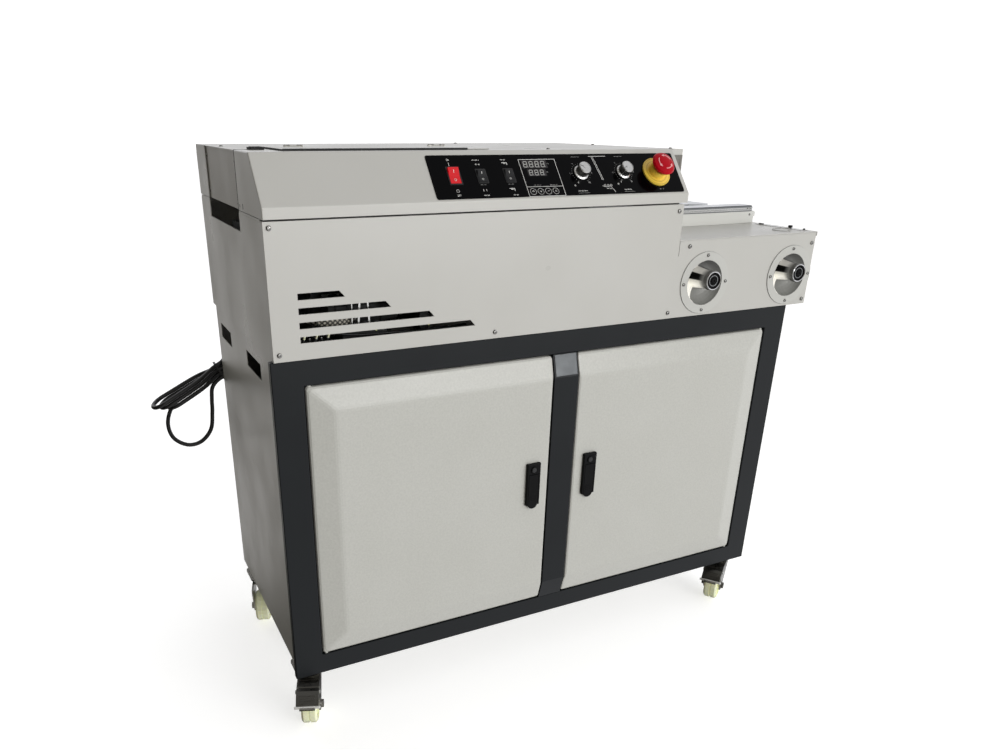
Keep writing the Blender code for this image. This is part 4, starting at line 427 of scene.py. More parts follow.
def hank_route():
    """The hank's laps, each stepped down by one pitch and a little shorter."""
    points = []
    for i in range(HANK_LOOPS * LOOP_POINTS + 1):
        share = i / LOOP_POINTS
        along, across = hank_flat(share, HANK_LEFT - HANK_LEFT_STEP * int(share))
        points.append(hank_place(along, across, HANK_START_RISE - HANK_PITCH * share))
    return points


def smooth_through(points):
    """Points on a smooth curve through a route whose two end stretches stay straight."""
    slopes = [(after - before) / 2 for before, after in zip(points, points[2:])]
    slopes[0] = (points[1] - points[0]).normalized() * (points[2] - points[1]).length
    slopes[-1] = (points[-1] - points[-2]).normalized() * (points[-2] - points[-3]).length
    route = [points[0]]
    middle = points[1:-1]
    for here, there, start, end in zip(middle, middle[1:], slopes, slopes[1:]):
        for step in range(CURVE_STEPS):
            t = step / CURVE_STEPS
            route.append(
                here * (2 * t ** 3 - 3 * t ** 2 + 1) + start * (t ** 3 - 2 * t ** 2 + t)
                + there * (3 * t ** 2 - 2 * t ** 3) + end * (t ** 3 - t ** 2))
    return route + [middle[-1], points[-1]]


hank = hank_route()
along_hank = hank_place(1, 0, 0) - hank_place(0, 0, 0)
straight = CORD_RADIUS * 2
gland_end = Vector(GLAND)
lead = smooth_through(
    [gland_end, gland_end + Vector((0, straight, 0))] + [Vector(p) for p in LEAD]
    + [hank[0] - along_hank * straight, hank[0]])
tail = smooth_through(
    [hank[-1], hank[-1] + along_hank * straight] + [Vector(p) for p in TAIL])
cord_line = [DRAWING @ p for p in lead[:-1] + hank[:-1] + tail]

# %% Lay the cord
flex = bent_rod("mains_cord", cord_line, CORD_RADIUS, SHEATH, "machine", resolution=6)
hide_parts("cord_lead", "cord_hank", "cord_tail")
print("cord's points:", len(cord_line))

# %% [markdown]
# ## Floor and light
#
# The machine stands on a plain pale floor that glows a little, as a lit studio
# sweep does. The photograph's light comes low from the front and the right, while
# the left side and the space above are dim: the sloping face is darker than the
# upright panel below it. So the surround is bright on the right and dim on the
# left and overhead, and one large window stands in front on the right. The pale
# floor is only there to be seen and to take the shadow: neither its glow nor its
# mirror image falls on the sheets, as if black cards lay in between. Low behind
# the machine the surround is dark, and the left side mirrors that at its foot. A
# round sweep of white paper stands far off, and it too is only there to be seen.

# %% Floor and sweep
FLOOR_HALF = 30.0
FLOOR_LEVEL = spot(0, 0, 0).z - 0.0008
SWEEP_REACH = 28.0
SWEEP_RISE = 22.0


def put_backdrop(name, shape, level, finish_name, roughness, mirror, glow, unseen_by):
    """Set up a large white surface with a glow that some kinds of light don't carry on."""
    mesh = bpy.data.meshes.new(name)
    shape.to_mesh(mesh)
    shape.free()
    backdrop = bpy.data.objects.new(name, mesh)
    backdrop.location.z = level
    scene.collection.objects.link(backdrop)
    finish = new_finish(
        finish_name, None, "#E6E6E4", roughness, Specular_IOR_Level=mirror,
        Emission_Color=linear("#FFFFFF"), Emission_Strength=glow)[0]
    mesh.materials.append(finish)
    for light_kind in unseen_by:
        setattr(backdrop, f"visible_{light_kind}", False)


floor_shape = bmesh.new()
bmesh.ops.create_grid(floor_shape, x_segments=1, y_segments=1, size=FLOOR_HALF)
put_backdrop("studio_floor", floor_shape, FLOOR_LEVEL, "white_studio_vinyl",
             roughness=0.60, mirror=0.25, glow=0.56, unseen_by=("diffuse", "glossy"))
sweep_shape = bmesh.new()
bmesh.ops.create_cone(
    sweep_shape, segments=96, radius1=SWEEP_REACH, radius2=SWEEP_REACH, depth=SWEEP_RISE)
put_backdrop("studio_sweep", sweep_shape, FLOOR_LEVEL + SWEEP_RISE / 2, "white_studio_paper",
             roughness=0.80, mirror=0.0, glow=1.0,
             unseen_by=("diffuse", "glossy", "transmission", "shadow"))
print("floor level:", round(FLOOR_LEVEL, 4), "sweep's reach:", SWEEP_REACH)

# %% Surround
surround = bpy.data.worlds.new("studio_surround")
surround.use_nodes = True
sky = surround.node_tree
direction = node(sky, "SeparateXYZ", {0: node(sky, "TexCoord").outputs["Generated"]}).outputs
sideways = node(sky, "MapRange", {
    "Value": direction[0], "From Min": -0.75, "From Max": 0.15, "To Min": 0.06, "To Max": 1.05},
    interpolation_type="SMOOTHSTEP").outputs[0]
overhead = node(sky, "MapRange", {
    "Value": direction[2], "From Min": 0.30, "From Max": 0.95, "To Min": 1.0, "To Max": 0.75},
    interpolation_type="SMOOTHSTEP").outputs[0]
low = node(sky, "MapRange", {
    "Value": direction[2], "From Min": -0.56, "From Max": -0.47, "To Min": 0.04, "To Max": 1.0},
    interpolation_type="SMOOTHSTEP").outputs[0]
front = node(sky, "MapRange", {
    "Value": direction[1], "From Min": -0.10, "From Max": 0.15,
    "To Min": 1.0, "To Max": 0.0}).outputs[0]
foot_shade = node(sky, "Math", {0: low, 1: front}, operation="MAXIMUM").outputs[0]
glow = node(sky, "Math", {0: sideways, 1: overhead}, operation="MULTIPLY").outputs[0]
shaded = node(sky, "Math", {0: glow, 1: foot_shade}, operation="MULTIPLY").outputs[0]
tint = node(sky, "Mix", {
    0: sideways, 6: linear("#F4EBD6"), 7: linear("#FCFCFF")}, data_type="RGBA").outputs[2]
sky.links.new(tint, sky.nodes["Background"].inputs["Color"])
sky.links.new(shaded, sky.nodes["Background"].inputs["Strength"])
scene.world = surround
scene.view_settings.view_transform = "Standard"
print("surround's nodes:", len(sky.nodes))


# %% Lights
def window_light(name, place, target, width, height, power, colour):
    """A soft area light at a place on the drawing, turned to a target."""
    data = bpy.data.lights.new(name, "AREA")
    data.shape = "RECTANGLE"
    data.size = width
    data.size_y = height
    data.energy = power
    data.color = linear(colour)[:3]
    light = bpy.data.objects.new(name, data)
    scene.collection.objects.link(light)
    light.location = spot(*place)
    light.rotation_euler = (spot(*target) - spot(*place)).to_track_quat("-Z", "Y").to_euler()


window_light("front_window", place=(1.55, -3.4, 1.25), target=(0.5, 0.1, 0.5),
             width=2.4, height=1.4, power=54, colour="#FFFFFF")
window_light("rear_fill", place=(-1.2, 3.0, 2.2), target=(0.5, 0.3, 0.5),
             width=1.6, height=1.6, power=16, colour="#F4F7FF")

# %% [markdown]
# ## Paint: powder coat on folded steel
#
# The sheets are sprayed with dry powder and baked. The skin that forms has a fine
# orange peel, about two millimetres from crest to crest, and a satin gloss that
# shows the room as a soft blur. The doors have a coarser, speckled texture coat.
# Grey and anthracite are the same process in two powders.

# %% Powder coats
def powder_coat(name, slot, light, dark, gloss, peel_mm, peel_depth, speck=0.0, **sockets):
    """A baked powder coat: peel in the relief, a faint drift of shade, specks if coarse."""
    made, tree, shader = new_finish(name, slot, light, gloss, IOR=1.50, **sockets)
    peel, drift = work_surface(
        tree, shader, peel_mm, peel_depth, gloss, 0.05, cloud_mm=110.0)
    shade = node(tree, "Mix", {0: drift, 6: linear(dark), 7: linear(light)}, data_type="RGBA")
    specks = node(tree, "MapRange", {
        "Value": peel, "From Min": 0.3, "From Max": 0.7, "To Min": 1 - speck, "To Max": 1 + speck})
    speckled = node(tree, "HueSaturation", {
        "Color": shade.outputs[2], "Value": specks.outputs[0]})
    tree.links.new(speckled.outputs[0], shader.inputs["Base Color"])
    return made


BODY_PAINT = powder_coat("warm_grey_powder_coat", "body", "#BEBDB7", "#B9B8B1", 0.32, 2.2, 0.020)
DOOR_PAINT = powder_coat(
    "warm_grey_texture_coat", "body", "#BDBDB6", "#B8B8B0", 0.34, 3.2, 0.050, speck=0.05)
FRAME_PAINT = powder_coat(
    "anthracite_powder_coat", "frame", "#14181A", "#111416", 0.38, 2.0, 0.020,
    Specular_IOR_Level=0.20)
MOTOR_PAINT = powder_coat(
    "grey_hammer_enamel", "grey", "#2C2D2C", "#242524", 0.58, 5.0, 0.080, Specular_IOR_Level=0.2)
# The end cover's coat is the body grey made darker: painted shade for its inset place.
SHADED_BODY_PAINT = powder_coat(
    "body_grey_painted_shade_coat", "body", "#A6A39B", "#A19E96", 0.36, 2.2, 0.020)
# The nip box's coat is the body grey made lighter: painted light, as the hood shades its front.
LIT_BODY_PAINT = powder_coat("body_grey_painted_light_coat", "body", "#D6D6D0", "#D0D0CA", 0.34, 2.2, 0.020)
# A dark olive grey for a sheet that stands only for shade: painted shade.
SHADE_PAINT = powder_coat(
    "olive_grey_painted_shade", "grey", "#74716A", "#6B6861", 0.60, 2.0, 0.020)

# %% [markdown]
# ## Plastics
#
# Knobs are injection-moulded ABS with a spark-eroded, matte grain, and the cast
# latches are painted to match. The control face is a printed polycarbonate film,
# glossy and black. The rocker is clear-red polycarbonate with a lamp behind it,
# and the stop button is hard PBT. The castor wheels are cast nylon, which lets a
# little light into itself, and they also carry a faint painted glow. Printed signs
# are plain plastic without a grain, and the sleeve round the heater's leads is
# woven from two lays of glass strands.

# %% Moulded plastics
def moulded(name, slot, colour, gloss, grain_mm=0.9, depth=0.012, ior=1.53, **sockets):
    """A moulded plastic with the mould's fine grain."""
    made, tree, shader = new_finish(name, slot, colour, gloss, IOR=ior, **sockets)
    work_surface(tree, shader, grain_mm, depth, gloss, 0.045)
    return made


BLACK_ABS = moulded("black_grained_abs", "black", "#0E0E0E", 0.44, Specular_IOR_Level=0.4)
LATCH_BLACK = moulded(
    "black_painted_zinc", "black", "#040404", 0.50, depth=0.008, Specular_IOR_Level=0.10)
KNOB_ABS = moulded(
    "black_satin_abs", "black", "#0A0A0B", 0.34, depth=0.006, Specular_IOR_Level=0.30)
KNOB_FACE = moulded(
    "black_matt_abs", "black", "#050505", 0.56, depth=0.006, Specular_IOR_Level=0.10)
OVERLAY_FILM = moulded(
    "black_polycarbonate_film", "gloss_black", "#030304", 0.13, depth=0.001, ior=1.58,
    Specular_IOR_Level=0.04)
DARK_WINDOW = moulded("smoked_red_acrylic", "gloss_black", "#12080A", 0.07, depth=0.0, ior=1.49)
LAMP_RED = moulded(
    "lit_red_polycarbonate", "red", "#B80D16", 0.26, depth=0.002, ior=1.58,
    Specular_IOR_Level=0.25, Emission_Color=linear("#E01420"), Emission_Strength=0.22)
STOP_RED = moulded(
    "red_pbt", "red", "#AE0418", 0.34, depth=0.004, Specular_IOR_Level=0.08)
STOP_YELLOW = moulded("yellow_pbt", "yellow", "#F2D050", 0.36, depth=0.004)
# The emission is a painted glow; the subsurface lets some real light in.
GLOWING_NYLON = moulded(
    "cast_nylon_6_painted_glow", "nylon", "#EFF1CC", 0.38, grain_mm=1.6, depth=0.02, ior=1.53,
    Subsurface_Weight=0.25, Subsurface_Radius=(0.004, 0.0035, 0.002), Subsurface_Scale=1.0,
    Emission_Color=linear("#E6E9C4"), Emission_Strength=0.07)
RUBBER = moulded("black_nitrile_rubber", "black", "#121211", 0.68, 1.2, 0.02, 1.52)

# %% Woven sleeve
STRAND_MM = 2.6
STRAND_LIFT_MM = 0.5
LAY_ANGLE = 0.78
GLASS_BRAID, braid_nodes, braid_shader = new_finish("woven_glass_sleeve", "nylon", "#A8A294", 0.62)
braid_place = node(braid_nodes, "TexCoord").outputs["Object"]
lay_1, lay_2 = [
    node(braid_nodes, "TexWave", {
        "Vector": node(braid_nodes, "Mapping", {
            "Vector": braid_place, "Rotation": (0, turn, 0)}).outputs[0],
        "Scale": repeats(STRAND_MM) / math.tau, "Distortion": 0.6, "Detail": 0.0}).outputs[1]
    for turn in (LAY_ANGLE, -LAY_ANGLE)]
strands = node(braid_nodes, "Math", {0: lay_1, 1: lay_2}, operation="MULTIPLY").outputs[0]
braid = node(braid_nodes, "Mix", {
    0: strands, 6: linear("#2E2C27"), 7: linear("#D6D0BF")}, data_type="RGBA").outputs[2]
braid_nodes.links.new(braid, braid_shader.inputs["Base Color"])
braid_lift = node(braid_nodes, "Bump", {"Height": strands, "Distance": STRAND_LIFT_MM * MM})
braid_nodes.links.new(braid_lift.outputs[0], braid_shader.inputs["Normal"])

# %% Prints
PRINT_WHITE = moulded("white_screen_print", "gloss_black", "#E9E9E4", 0.45, depth=0.0)
PRINT_DIM = moulded("grey_screen_print", "gloss_black", "#9B9B98", 0.45, depth=0.0)
PRINT_DARK = moulded("black_screen_print", "black", "#1B1B1B", 0.45, depth=0.0)
PRINT_PINK = moulded("pale_pink_pad_print", "red", "#E8A7A6", 0.45, depth=0.0)
# A darker ochre for the stop ring's groove: painted shade.
GROOVE_SHADE_OCHRE = moulded("ochre_painted_groove_shade", "yellow", "#9A7414", 0.50, depth=0.0)
DIGIT_GREY = moulded("unlit_display_segments", "gloss_black", "#A9A9A4", 0.40, depth=0.0)

# %% [markdown]
# ## Metals
#
# Each metal keeps its own reflectance and is told apart by how it was worked,
# save three that carry painted light. Zinc plate on the castors is milky and
# uneven; the near-white zinc of the pedal lips is a painted highlight. The rail
# and the dials are aluminium, drawn or turned on a lathe, and the grey plate on
# the post is darkened as painted shade. The nip jaw is blackened steel, and the
# tank is a rough sand casting darkened as painted shade. The spun dishes have a
# finish of their own below.

# %% Worked metals
def metal(name, slot, colour, gloss, marks_mm, depth, stretch=(1, 1, 1), patch=0.06,
          patch_mm=18.0, lathe=None):
    """A bare or plated metal, with tool marks drawn out along the work or round a lathe's axis."""
    made, tree, shader = new_finish(name, slot, colour, gloss, 1.0)
    work_surface(tree, shader, marks_mm, depth, gloss, patch, stretch, patch_mm)
    if lathe:
        turned = node(tree, "Tangent", direction_type="RADIAL", axis=lathe)
        tree.links.new(turned.outputs[0], shader.inputs["Tangent"])
        shader.inputs["Anisotropic"].default_value = 0.8
    return made


ZINC_PLATE = metal(
    "zinc_plated_steel", "zinc", "#8C8A84", 0.34, 3.0, 0.015, patch=0.10, patch_mm=6.0)
PEDAL_STEEL = metal(
    "dark_zinc_sheet", "zinc", "#5C5B57", 0.36, 3.0, 0.015, patch=0.10, patch_mm=6.0)
SCREW_STEEL = metal(
    "nickel_plated_screw", "steel", "#8E8D8A", 0.24, 1.5, 0.004, patch=0.06, patch_mm=4.0)
BRIGHT_STEEL = metal("bright_steel_strip", "steel", "#B9B9B6", 0.24, 1.2, 0.004, (0.05, 1, 1))
NIP_STEEL = metal(
    "blackened_tool_steel", "steel", "#7C7E7E", 0.36, 1.5, 0.008, (0.04, 1, 1), patch=0.08)
ALUMINIUM = metal("drawn_aluminium", "aluminium", "#BFC1C3", 0.32, 1.4, 0.010, (0.03, 1, 1))
TURNED_ALUMINIUM = metal(
    "turned_aluminium", "aluminium", "#C8C8C6", 0.28, 0.8, 0.004, lathe="Z")
# The tank's aluminium is darkened: painted shade for its place deep in the hood.
SHADED_CAST_ALUMINIUM = metal(
    "sand_cast_aluminium_painted_shade", "aluminium", "#4A4B4A", 0.56, 2.4, 0.060, patch=0.08)
CHROME = metal("chrome_plate", "steel", "#D6D6D6", 0.08, 2.0, 0.0, patch=0.03)
# Near-white zinc for the pedal lips: a painted highlight.
LIP_HIGHLIGHT_ZINC = metal(
    "zinc_edge_painted_highlight", "zinc", "#F4F4F0", 0.50, 2.0, 0.0, patch=0.03)
# A brushed plate darkened as painted shade, so that it mirrors less of the window.
SHADED_POST_PLATE = metal(
    "brushed_grey_plate", "zinc", "#565859", 0.44, 1.4, 0.006, (0.05, 1, 1), patch=0.05)
BLACK_CHROME = metal("black_chrome_plug", "black", "#3C3C3C", 0.26, 2.0, 0.0, patch=0.03)
SLEEVE_STEEL = metal("satin_grey_sleeve", "steel", "#6E6E6C", 0.40, 1.0, 0.004)

# %% [markdown]
# A dish is one spun piece. Its flange is sprayed with the panel's paint, its bowl
# is bare metal that carries a painted reflection in sectors, dark at nine o'clock
# and light on both sides of it, and the cone in its middle is plain satin. Three
# distances decide which is which. They are measured from the dish's own box, so
# they need no seams. The bowl and the cone also carry a faint painted glow that
# stands for the room's lamps mirrored in them.

# %% The dish's finish
DISH_ACROSS = 0.1080
MOUTH_REACH = 0.0394
CONE_REACH = 0.0160
CONE_RISE = 0.0070
MOUTH_BLEND = 0.0003
CONE_BLEND = 0.0012
FLANGE_COLOUR = "#BFBFB9"
CONE_COLOUR = "#6C6C69"
BOWL_METALLIC = 0.14
# Strength of the painted glow on the bowl and the cone.
PAINTED_GLOW_STRENGTH = 0.42
# How the painted reflection in the bowl runs once round the cone, by the share of the turn.
PAINTED_REFLECTION_SECTORS = (
    (0.000, "#0A0A09"), (0.006, "#0C0C0B"), (0.012, "#C4C2BA"), (0.090, "#E8E6DE"),
    (0.168, "#E2E0D8"), (0.174, "#6C6C68"), (0.300, "#747470"), (0.520, "#6C6C69"),
    (0.700, "#525250"), (0.768, "#525250"), (0.774, "#ACAAA4"), (0.900, "#B6B4AE"),
    (0.906, "#080807"), (1.000, "#0A0A09"))

DISH_STEEL, dish_nodes, dish_shader = new_finish(
    "spun_dish_steel", "steel", "#83837F", 0.36, Anisotropic=0.4, Specular_IOR_Level=0.25)
work_surface(dish_nodes, dish_shader, 1.6, 0.004, 0.36, 0.05)
in_box = node(dish_nodes, "TexCoord").outputs["Generated"]
from_middle = node(dish_nodes, "Mapping", {
    "Vector": in_box, "Location": (-DISH_ACROSS / 2, -DISH_ACROSS / 2, 0),
    "Scale": (DISH_ACROSS, 0, DISH_ACROSS), "Rotation": (-math.pi / 2, 0, 0)}).outputs[0]
from_cone = node(dish_nodes, "VectorMath", {0: from_middle, 1: (0, CONE_RISE, 0)},
                 operation="SUBTRACT").outputs[0]
reach = node(dish_nodes, "VectorMath", {0: from_middle}, operation="LENGTH").outputs["Value"]
cone_reach = node(dish_nodes, "VectorMath", {0: from_cone}, operation="LENGTH").outputs["Value"]
bare = node(dish_nodes, "MapRange", {
    "Value": reach, "From Min": MOUTH_REACH, "From Max": MOUTH_REACH + MOUTH_BLEND,
    "To Min": 1.0, "To Max": 0.0}).outputs[0]
in_bowl = node(dish_nodes, "MapRange", {
    "Value": cone_reach, "From Min": CONE_REACH,
    "From Max": CONE_REACH + CONE_BLEND}).outputs[0]
around = node(dish_nodes, "TexGradient", {0: from_cone}, gradient_type="RADIAL").outputs[1]
painted_reflection = node(dish_nodes, "ValToRGB", {0: around})
while len(painted_reflection.color_ramp.elements) < len(PAINTED_REFLECTION_SECTORS):
    painted_reflection.color_ramp.elements.new(0.5)
for stop, (share, colour) in zip(painted_reflection.color_ramp.elements, PAINTED_REFLECTION_SECTORS):
    stop.position, stop.color = share, linear(colour)
bowl_or_cone = node(dish_nodes, "Mix", {
    0: in_bowl, 6: linear(CONE_COLOUR), 7: painted_reflection.outputs[0]}, data_type="RGBA").outputs[2]
whole = node(dish_nodes, "Mix", {
    0: bare, 6: linear(FLANGE_COLOUR), 7: bowl_or_cone}, data_type="RGBA").outputs[2]
dish_nodes.links.new(whole, dish_shader.inputs["Base Color"])
gleam = node(dish_nodes, "Math", {0: bare, 1: BOWL_METALLIC}, operation="MULTIPLY").outputs[0]
# The bowl and the cone glow faintly: a painted glow that stands for mirrored lamps.
painted_glow_colour = node(dish_nodes, "Mix", {
    0: bare, 6: linear("#000000"), 7: bowl_or_cone}, data_type="RGBA").outputs[2]
dish_nodes.links.new(painted_glow_colour, dish_shader.inputs["Emission Color"])
dish_shader.inputs["Emission Strength"].default_value = PAINTED_GLOW_STRENGTH
dish_nodes.links.new(gleam, dish_shader.inputs["Metallic"])
print("the dish's polish has", len(PAINTED_REFLECTION_SECTORS), "colour stops")

# %% [markdown]
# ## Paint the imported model
#
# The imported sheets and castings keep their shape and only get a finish. Only the
# cord's three packed stretches get none, because the finer cord replaces them.

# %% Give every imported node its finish
CASTORS = ("front_left", "front_right", "rear_left", "rear_right")
PAINTED = [
    (FRAME_PAINT, "stand_frame door_post"),
    (BODY_PAINT, "stand_cabinet housing_shell front_panel step_table"),
    (BODY_PAINT, "hood_front hood_body hood_lid"),
    (DOOR_PAINT, "door_left door_right"),
    (LATCH_BLACK, "latch_left latch_right latch_left_tongue latch_right_tongue"),
    (DISH_STEEL, "bezel_1 bezel_2"),
    (KNOB_FACE, "adjust_knob_1 adjust_knob_2"),
    (SHADED_BODY_PAINT, "end_cover"),
    (ZINC_PLATE, "lid_hinge_1 lid_hinge_2"),
    (OVERLAY_FILM, "control_panel"),
    (LAMP_RED, "main_rocker"),
    (KNOB_ABS, "small_rocker_1 small_rocker_2"),
    (TURNED_ALUMINIUM, "dial_1 dial_2"),
    (STOP_YELLOW, "stop_base"),
    (STOP_RED, "stop_button"),
    (LIT_BODY_PAINT, "nip_box"),
    (NIP_STEEL, "nip_jaw"),
    (ALUMINIUM, "guide_rail clamp_jaw"),
    (MOTOR_PAINT, "clamp_carriage cutter_motor drive_motor"),
    (BRIGHT_STEEL, "milling_cutter glue_roller"),
    (SHADED_CAST_ALUMINIUM, "glue_tank"),
    (BLACK_ABS, "cord_gland cord_tie"),
    (RUBBER, "cord_plug")]
PAINTED += [(ZINC_PLATE, f"castor_{c}_plate castor_{c}_fork") for c in CASTORS]
PAINTED += [(GLOWING_NYLON, f"castor_{c}_wheel") for c in CASTORS]
PAINTED += [(ZINC_PLATE, f"castor_{c}_brake") for c in CASTORS[:2]]

unpainted = set(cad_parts)
for finish, names in PAINTED:
    for name in names.split():
        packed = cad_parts[name]
        packed.data.materials.clear()
        packed.data.materials.append(finish)
        unpainted.discard(name)
print("nodes without a finish:", sorted(unpainted))

# %% [markdown]
# ## Screws and small hardware
#
# The housing's front is held by pan-head screws, M4, nickel plated, with a cross
# recess that holds a dark dot of shadow. Each dish has four smaller ones round
# its flange. A screw is never turned like its neighbour, so each has its own turn.

# %% A screw head
SCREW_SIDES = 20
GOLDEN_TURN = math.radians(137.5)
# Rings of a domed head, as shares of its radius and height, from the seat up.
HEAD_RINGS = ((1.0, 0.0), (1.0, 0.3), (0.84, 0.8), (0.64, 1.0))
# A head's radius and height, by the screw's size.
HEAD_SIZES = {
    "M4": (0.0038, 0.0022), "M3.5": (0.0032, 0.0019), "M3": (0.0030, 0.0018),
    "M2.5": (0.0024, 0.0015), "M2.2": (0.0022, 0.0014), "M2": (0.0020, 0.0012),
    "M1.4": (0.0014, 0.0010)}


def put_screw(shape, seat, radius, height):
    """Add a domed screw head with a cross recess, standing on the seat's plane."""
    rings = [put_ring(shape, seat, radius * reach, height * level, SCREW_SIDES)
             for reach, level in HEAD_RINGS]
    put_ring_walls(shape, rings)
    shape.faces.new(rings[0])
    arm, half = radius * 0.50, radius * 0.13
    cross = [
        (arm, -half), (arm, half), (half, half), (half, arm), (-half, arm), (-half, half),
        (-arm, half), (-arm, -half), (-half, -half), (-half, -arm), (half, -arm), (half, -half)]
    mouth = [shape.verts.new(seat @ Vector((x, y, height))) for x, y in cross]
    floor = [shape.verts.new(seat @ Vector((x * 0.7, y * 0.7, height * 0.3))) for x, y in cross]
    put_ring_walls(shape, [mouth, floor])
    shape.faces.new(floor)
    rims = [shape.edges.get((ring[i], ring[(i + 1) % len(ring)]))
            for ring in (rings[-1], mouth) for i in range(len(ring))]
    bmesh.ops.triangle_fill(shape, use_beauty=True, use_dissolve=False, edges=rims)


def screws(name, places, normal, size, body="machine"):
    """Screw heads at places on the drawing that all face one way."""
    shape = bmesh.new()
    for index, place in enumerate(places):
        put_screw(shape, facing(spot(*place), normal, GOLDEN_TURN * index), *HEAD_SIZES[size])
    keep(name, shape, SCREW_STEEL, body, smooth=40)


# %% Screws of the housing and the hood
FRONT = (0, -1, 0)
BACK = (0, 1, 0)
LEFT = (-1, 0, 0)
RIGHT = (1, 0, 0)
UP = (0, 0, 1)
FACE_Y = side_of("front_panel", "front")
FLANGE_Y = FACE_Y - 0.0015
DISHES = [middle_of(f"bezel_{number}")[0] for number in (1, 2)]
DISH_Z = middle_of("bezel_1")[2]
FLANGE_SCREW_REACH = 0.0478
PANEL_SCREWS = (
    (0.0135, 0.8313), (0.0145, 0.6572), (0.3622, 0.6572), (0.7088, 0.6570), (0.7090, 0.8285),
    (0.7411, 0.7693), (1.0350, 0.7605), (1.0339, 0.6564))
HOOD_SCREWS = ((0.495, 0.080), (0.735, 0.070), (0.735, 0.300), (0.020, 0.300), (0.495, 0.420))

screws("panel_screws", [(x, FACE_Y, z) for x, z in PANEL_SCREWS], FRONT, "M4")
flange_places = []
for centre in DISHES:
    for step in range(4):
        x, z = polar((centre, DISH_Z), FLANGE_SCREW_REACH, math.radians(90 * step))
        flange_places.append((x, FLANGE_Y, z))
screws("dish_flange_screws", flange_places, FRONT, "M3")
screws("hood_top_screws", [(x, y, HOOD_TOP) for x, y in HOOD_SCREWS], UP, "M3.5")
print("screws placed:", len(PANEL_SCREWS) + len(flange_places) + len(HOOD_SCREWS))

# %% [markdown]
# ## The printed control face
#
# The overlay is a black film with white screen print a few hundredths of a
# millimetre thick. The print is drawn here as thin raised strokes: frames, scale
# ticks, numbers and the plain marks for on and off. Words that can't be read in
# the photograph stay as rows of tiny ticks.

# %% Strokes and numbers
PRINT_LOW = 0.00112
PRINT_HIGH = 0.00120
FINE = 0.00035
HAIR = 0.00045
BOLD = 0.0006
WORD_PITCH = 0.0011


def put_stroke(shape, points, width=HAIR, seat=SLOPE, low=PRINT_LOW, high=PRINT_HIGH):
    """Add a thin raised stroke along points on a face."""
    for near, far in zip(points, points[1:]):
        near, far = Vector(near), Vector(far)
        ahead = (far - near).normalized() * width / 2
        side = Vector((-ahead.y, ahead.x))
        near, far = near - ahead, far + ahead
        corners = [near - side, far - side, far + side, near + side]
        put_outline(shape, [tuple(c) for c in corners], low, high, seat)


def put_circle(shape, centre, radius, width=HAIR, steps=28, **levels):
    """Add a thin raised circle."""
    put_stroke(shape, arc(centre, radius, 0, 360, steps), width, **levels)


DIGIT_STROKES = {
    "0": [[(0, 0), (1, 0), (1, 2), (0, 2), (0, 0)]], "1": [[(0.5, 0), (0.5, 2), (0.15, 1.6)]],
    "2": [[(0, 2), (1, 2), (1, 1), (0, 1), (0, 0), (1, 0)]],
    "4": [[(0, 2), (0, 1), (1, 1)], [(0.8, 2), (0.8, 0)]],
    "6": [[(1, 2), (0, 2), (0, 0), (1, 0), (1, 1), (0, 1)]],
    "8": [[(0, 0), (1, 0), (1, 2), (0, 2), (0, 0)], [(0, 1), (1, 1)]],
    "N": [[(0, 0), (0, 2), (1, 0), (1, 2)]],
    "F": [[(0, 0), (0, 2), (1, 2)], [(0, 1), (0.8, 1)]],
}
DIGIT_STROKES["O"] = DIGIT_STROKES["0"]


def put_text(shape, text, centre, height, width=0.0003):
    """Add numbers, or the letters of ON and OFF, centred on a place."""
    step = height * 0.75
    left = centre[0] - (len(text) * step - height * 0.25) / 2
    for index, sign in enumerate(text):
        for stroke in DIGIT_STROKES[sign]:
            put_stroke(shape, [
                (left + index * step + x * height / 2, centre[1] + (y - 1) * height / 2)
                for x, y in stroke], width)


def put_faint_word(shape, centre, length, height=0.0016):
    """Add a row of tiny ticks where the photograph shows an unreadable word."""
    count = int(length / WORD_PITCH)
    for i in range(count):
        if i % 5 == 4:
            continue
        x = centre[0] + (i - (count - 1) / 2) * WORD_PITCH
        rise = height * (0.5 if i % 3 else 0.35)
        put_stroke(shape, [(x, centre[1] - rise), (x, centre[1] + rise)])


# %% Print the switches' signs
bright = bmesh.new()
dim = bmesh.new()
put_text(bright, "ON", (0.2955, 0.0690), 0.0030)
put_stroke(bright, [(0.2955, 0.0588), (0.2955, 0.0640)], 0.0007)
put_circle(bright, (0.2975, 0.0163), 0.0023, BOLD)
put_text(bright, "OFF", (0.2980, 0.0085), 0.0028)
for left in (0.3400, 0.3450):
    put_circle(bright, (left, 0.0605), 0.0008, 0.0008, steps=10)
    put_stroke(bright, [(left, 0.0145), (left, 0.0180)], BOLD)
put_faint_word(bright, (0.3410, 0.0680), 0.0130)
put_faint_word(dim, (0.3430, 0.0255), 0.0120, 0.0007)
put_faint_word(bright, (0.3435, 0.0075), 0.0120)
# The hooked sign at the second small switch is a nozzle with a drop.
for base in (0.0590, 0.0140):
    put_stroke(bright, [
        (0.3850, base + 0.0040), (0.3930, base + 0.0040), (0.3930, base + 0.0005)], 0.0009)
    put_stroke(bright, [(0.3870, base + 0.0022), (0.3905, base + 0.0022)], 0.0007)
put_faint_word(bright, (0.3880, 0.0680), 0.0090)
put_faint_word(dim, (0.3900, 0.0255), 0.0120, 0.0007)
put_faint_word(bright, (0.3920, 0.0070), 0.0090)
print("printed round the switches:", len(bright.faces) + len(dim.faces), "faces")

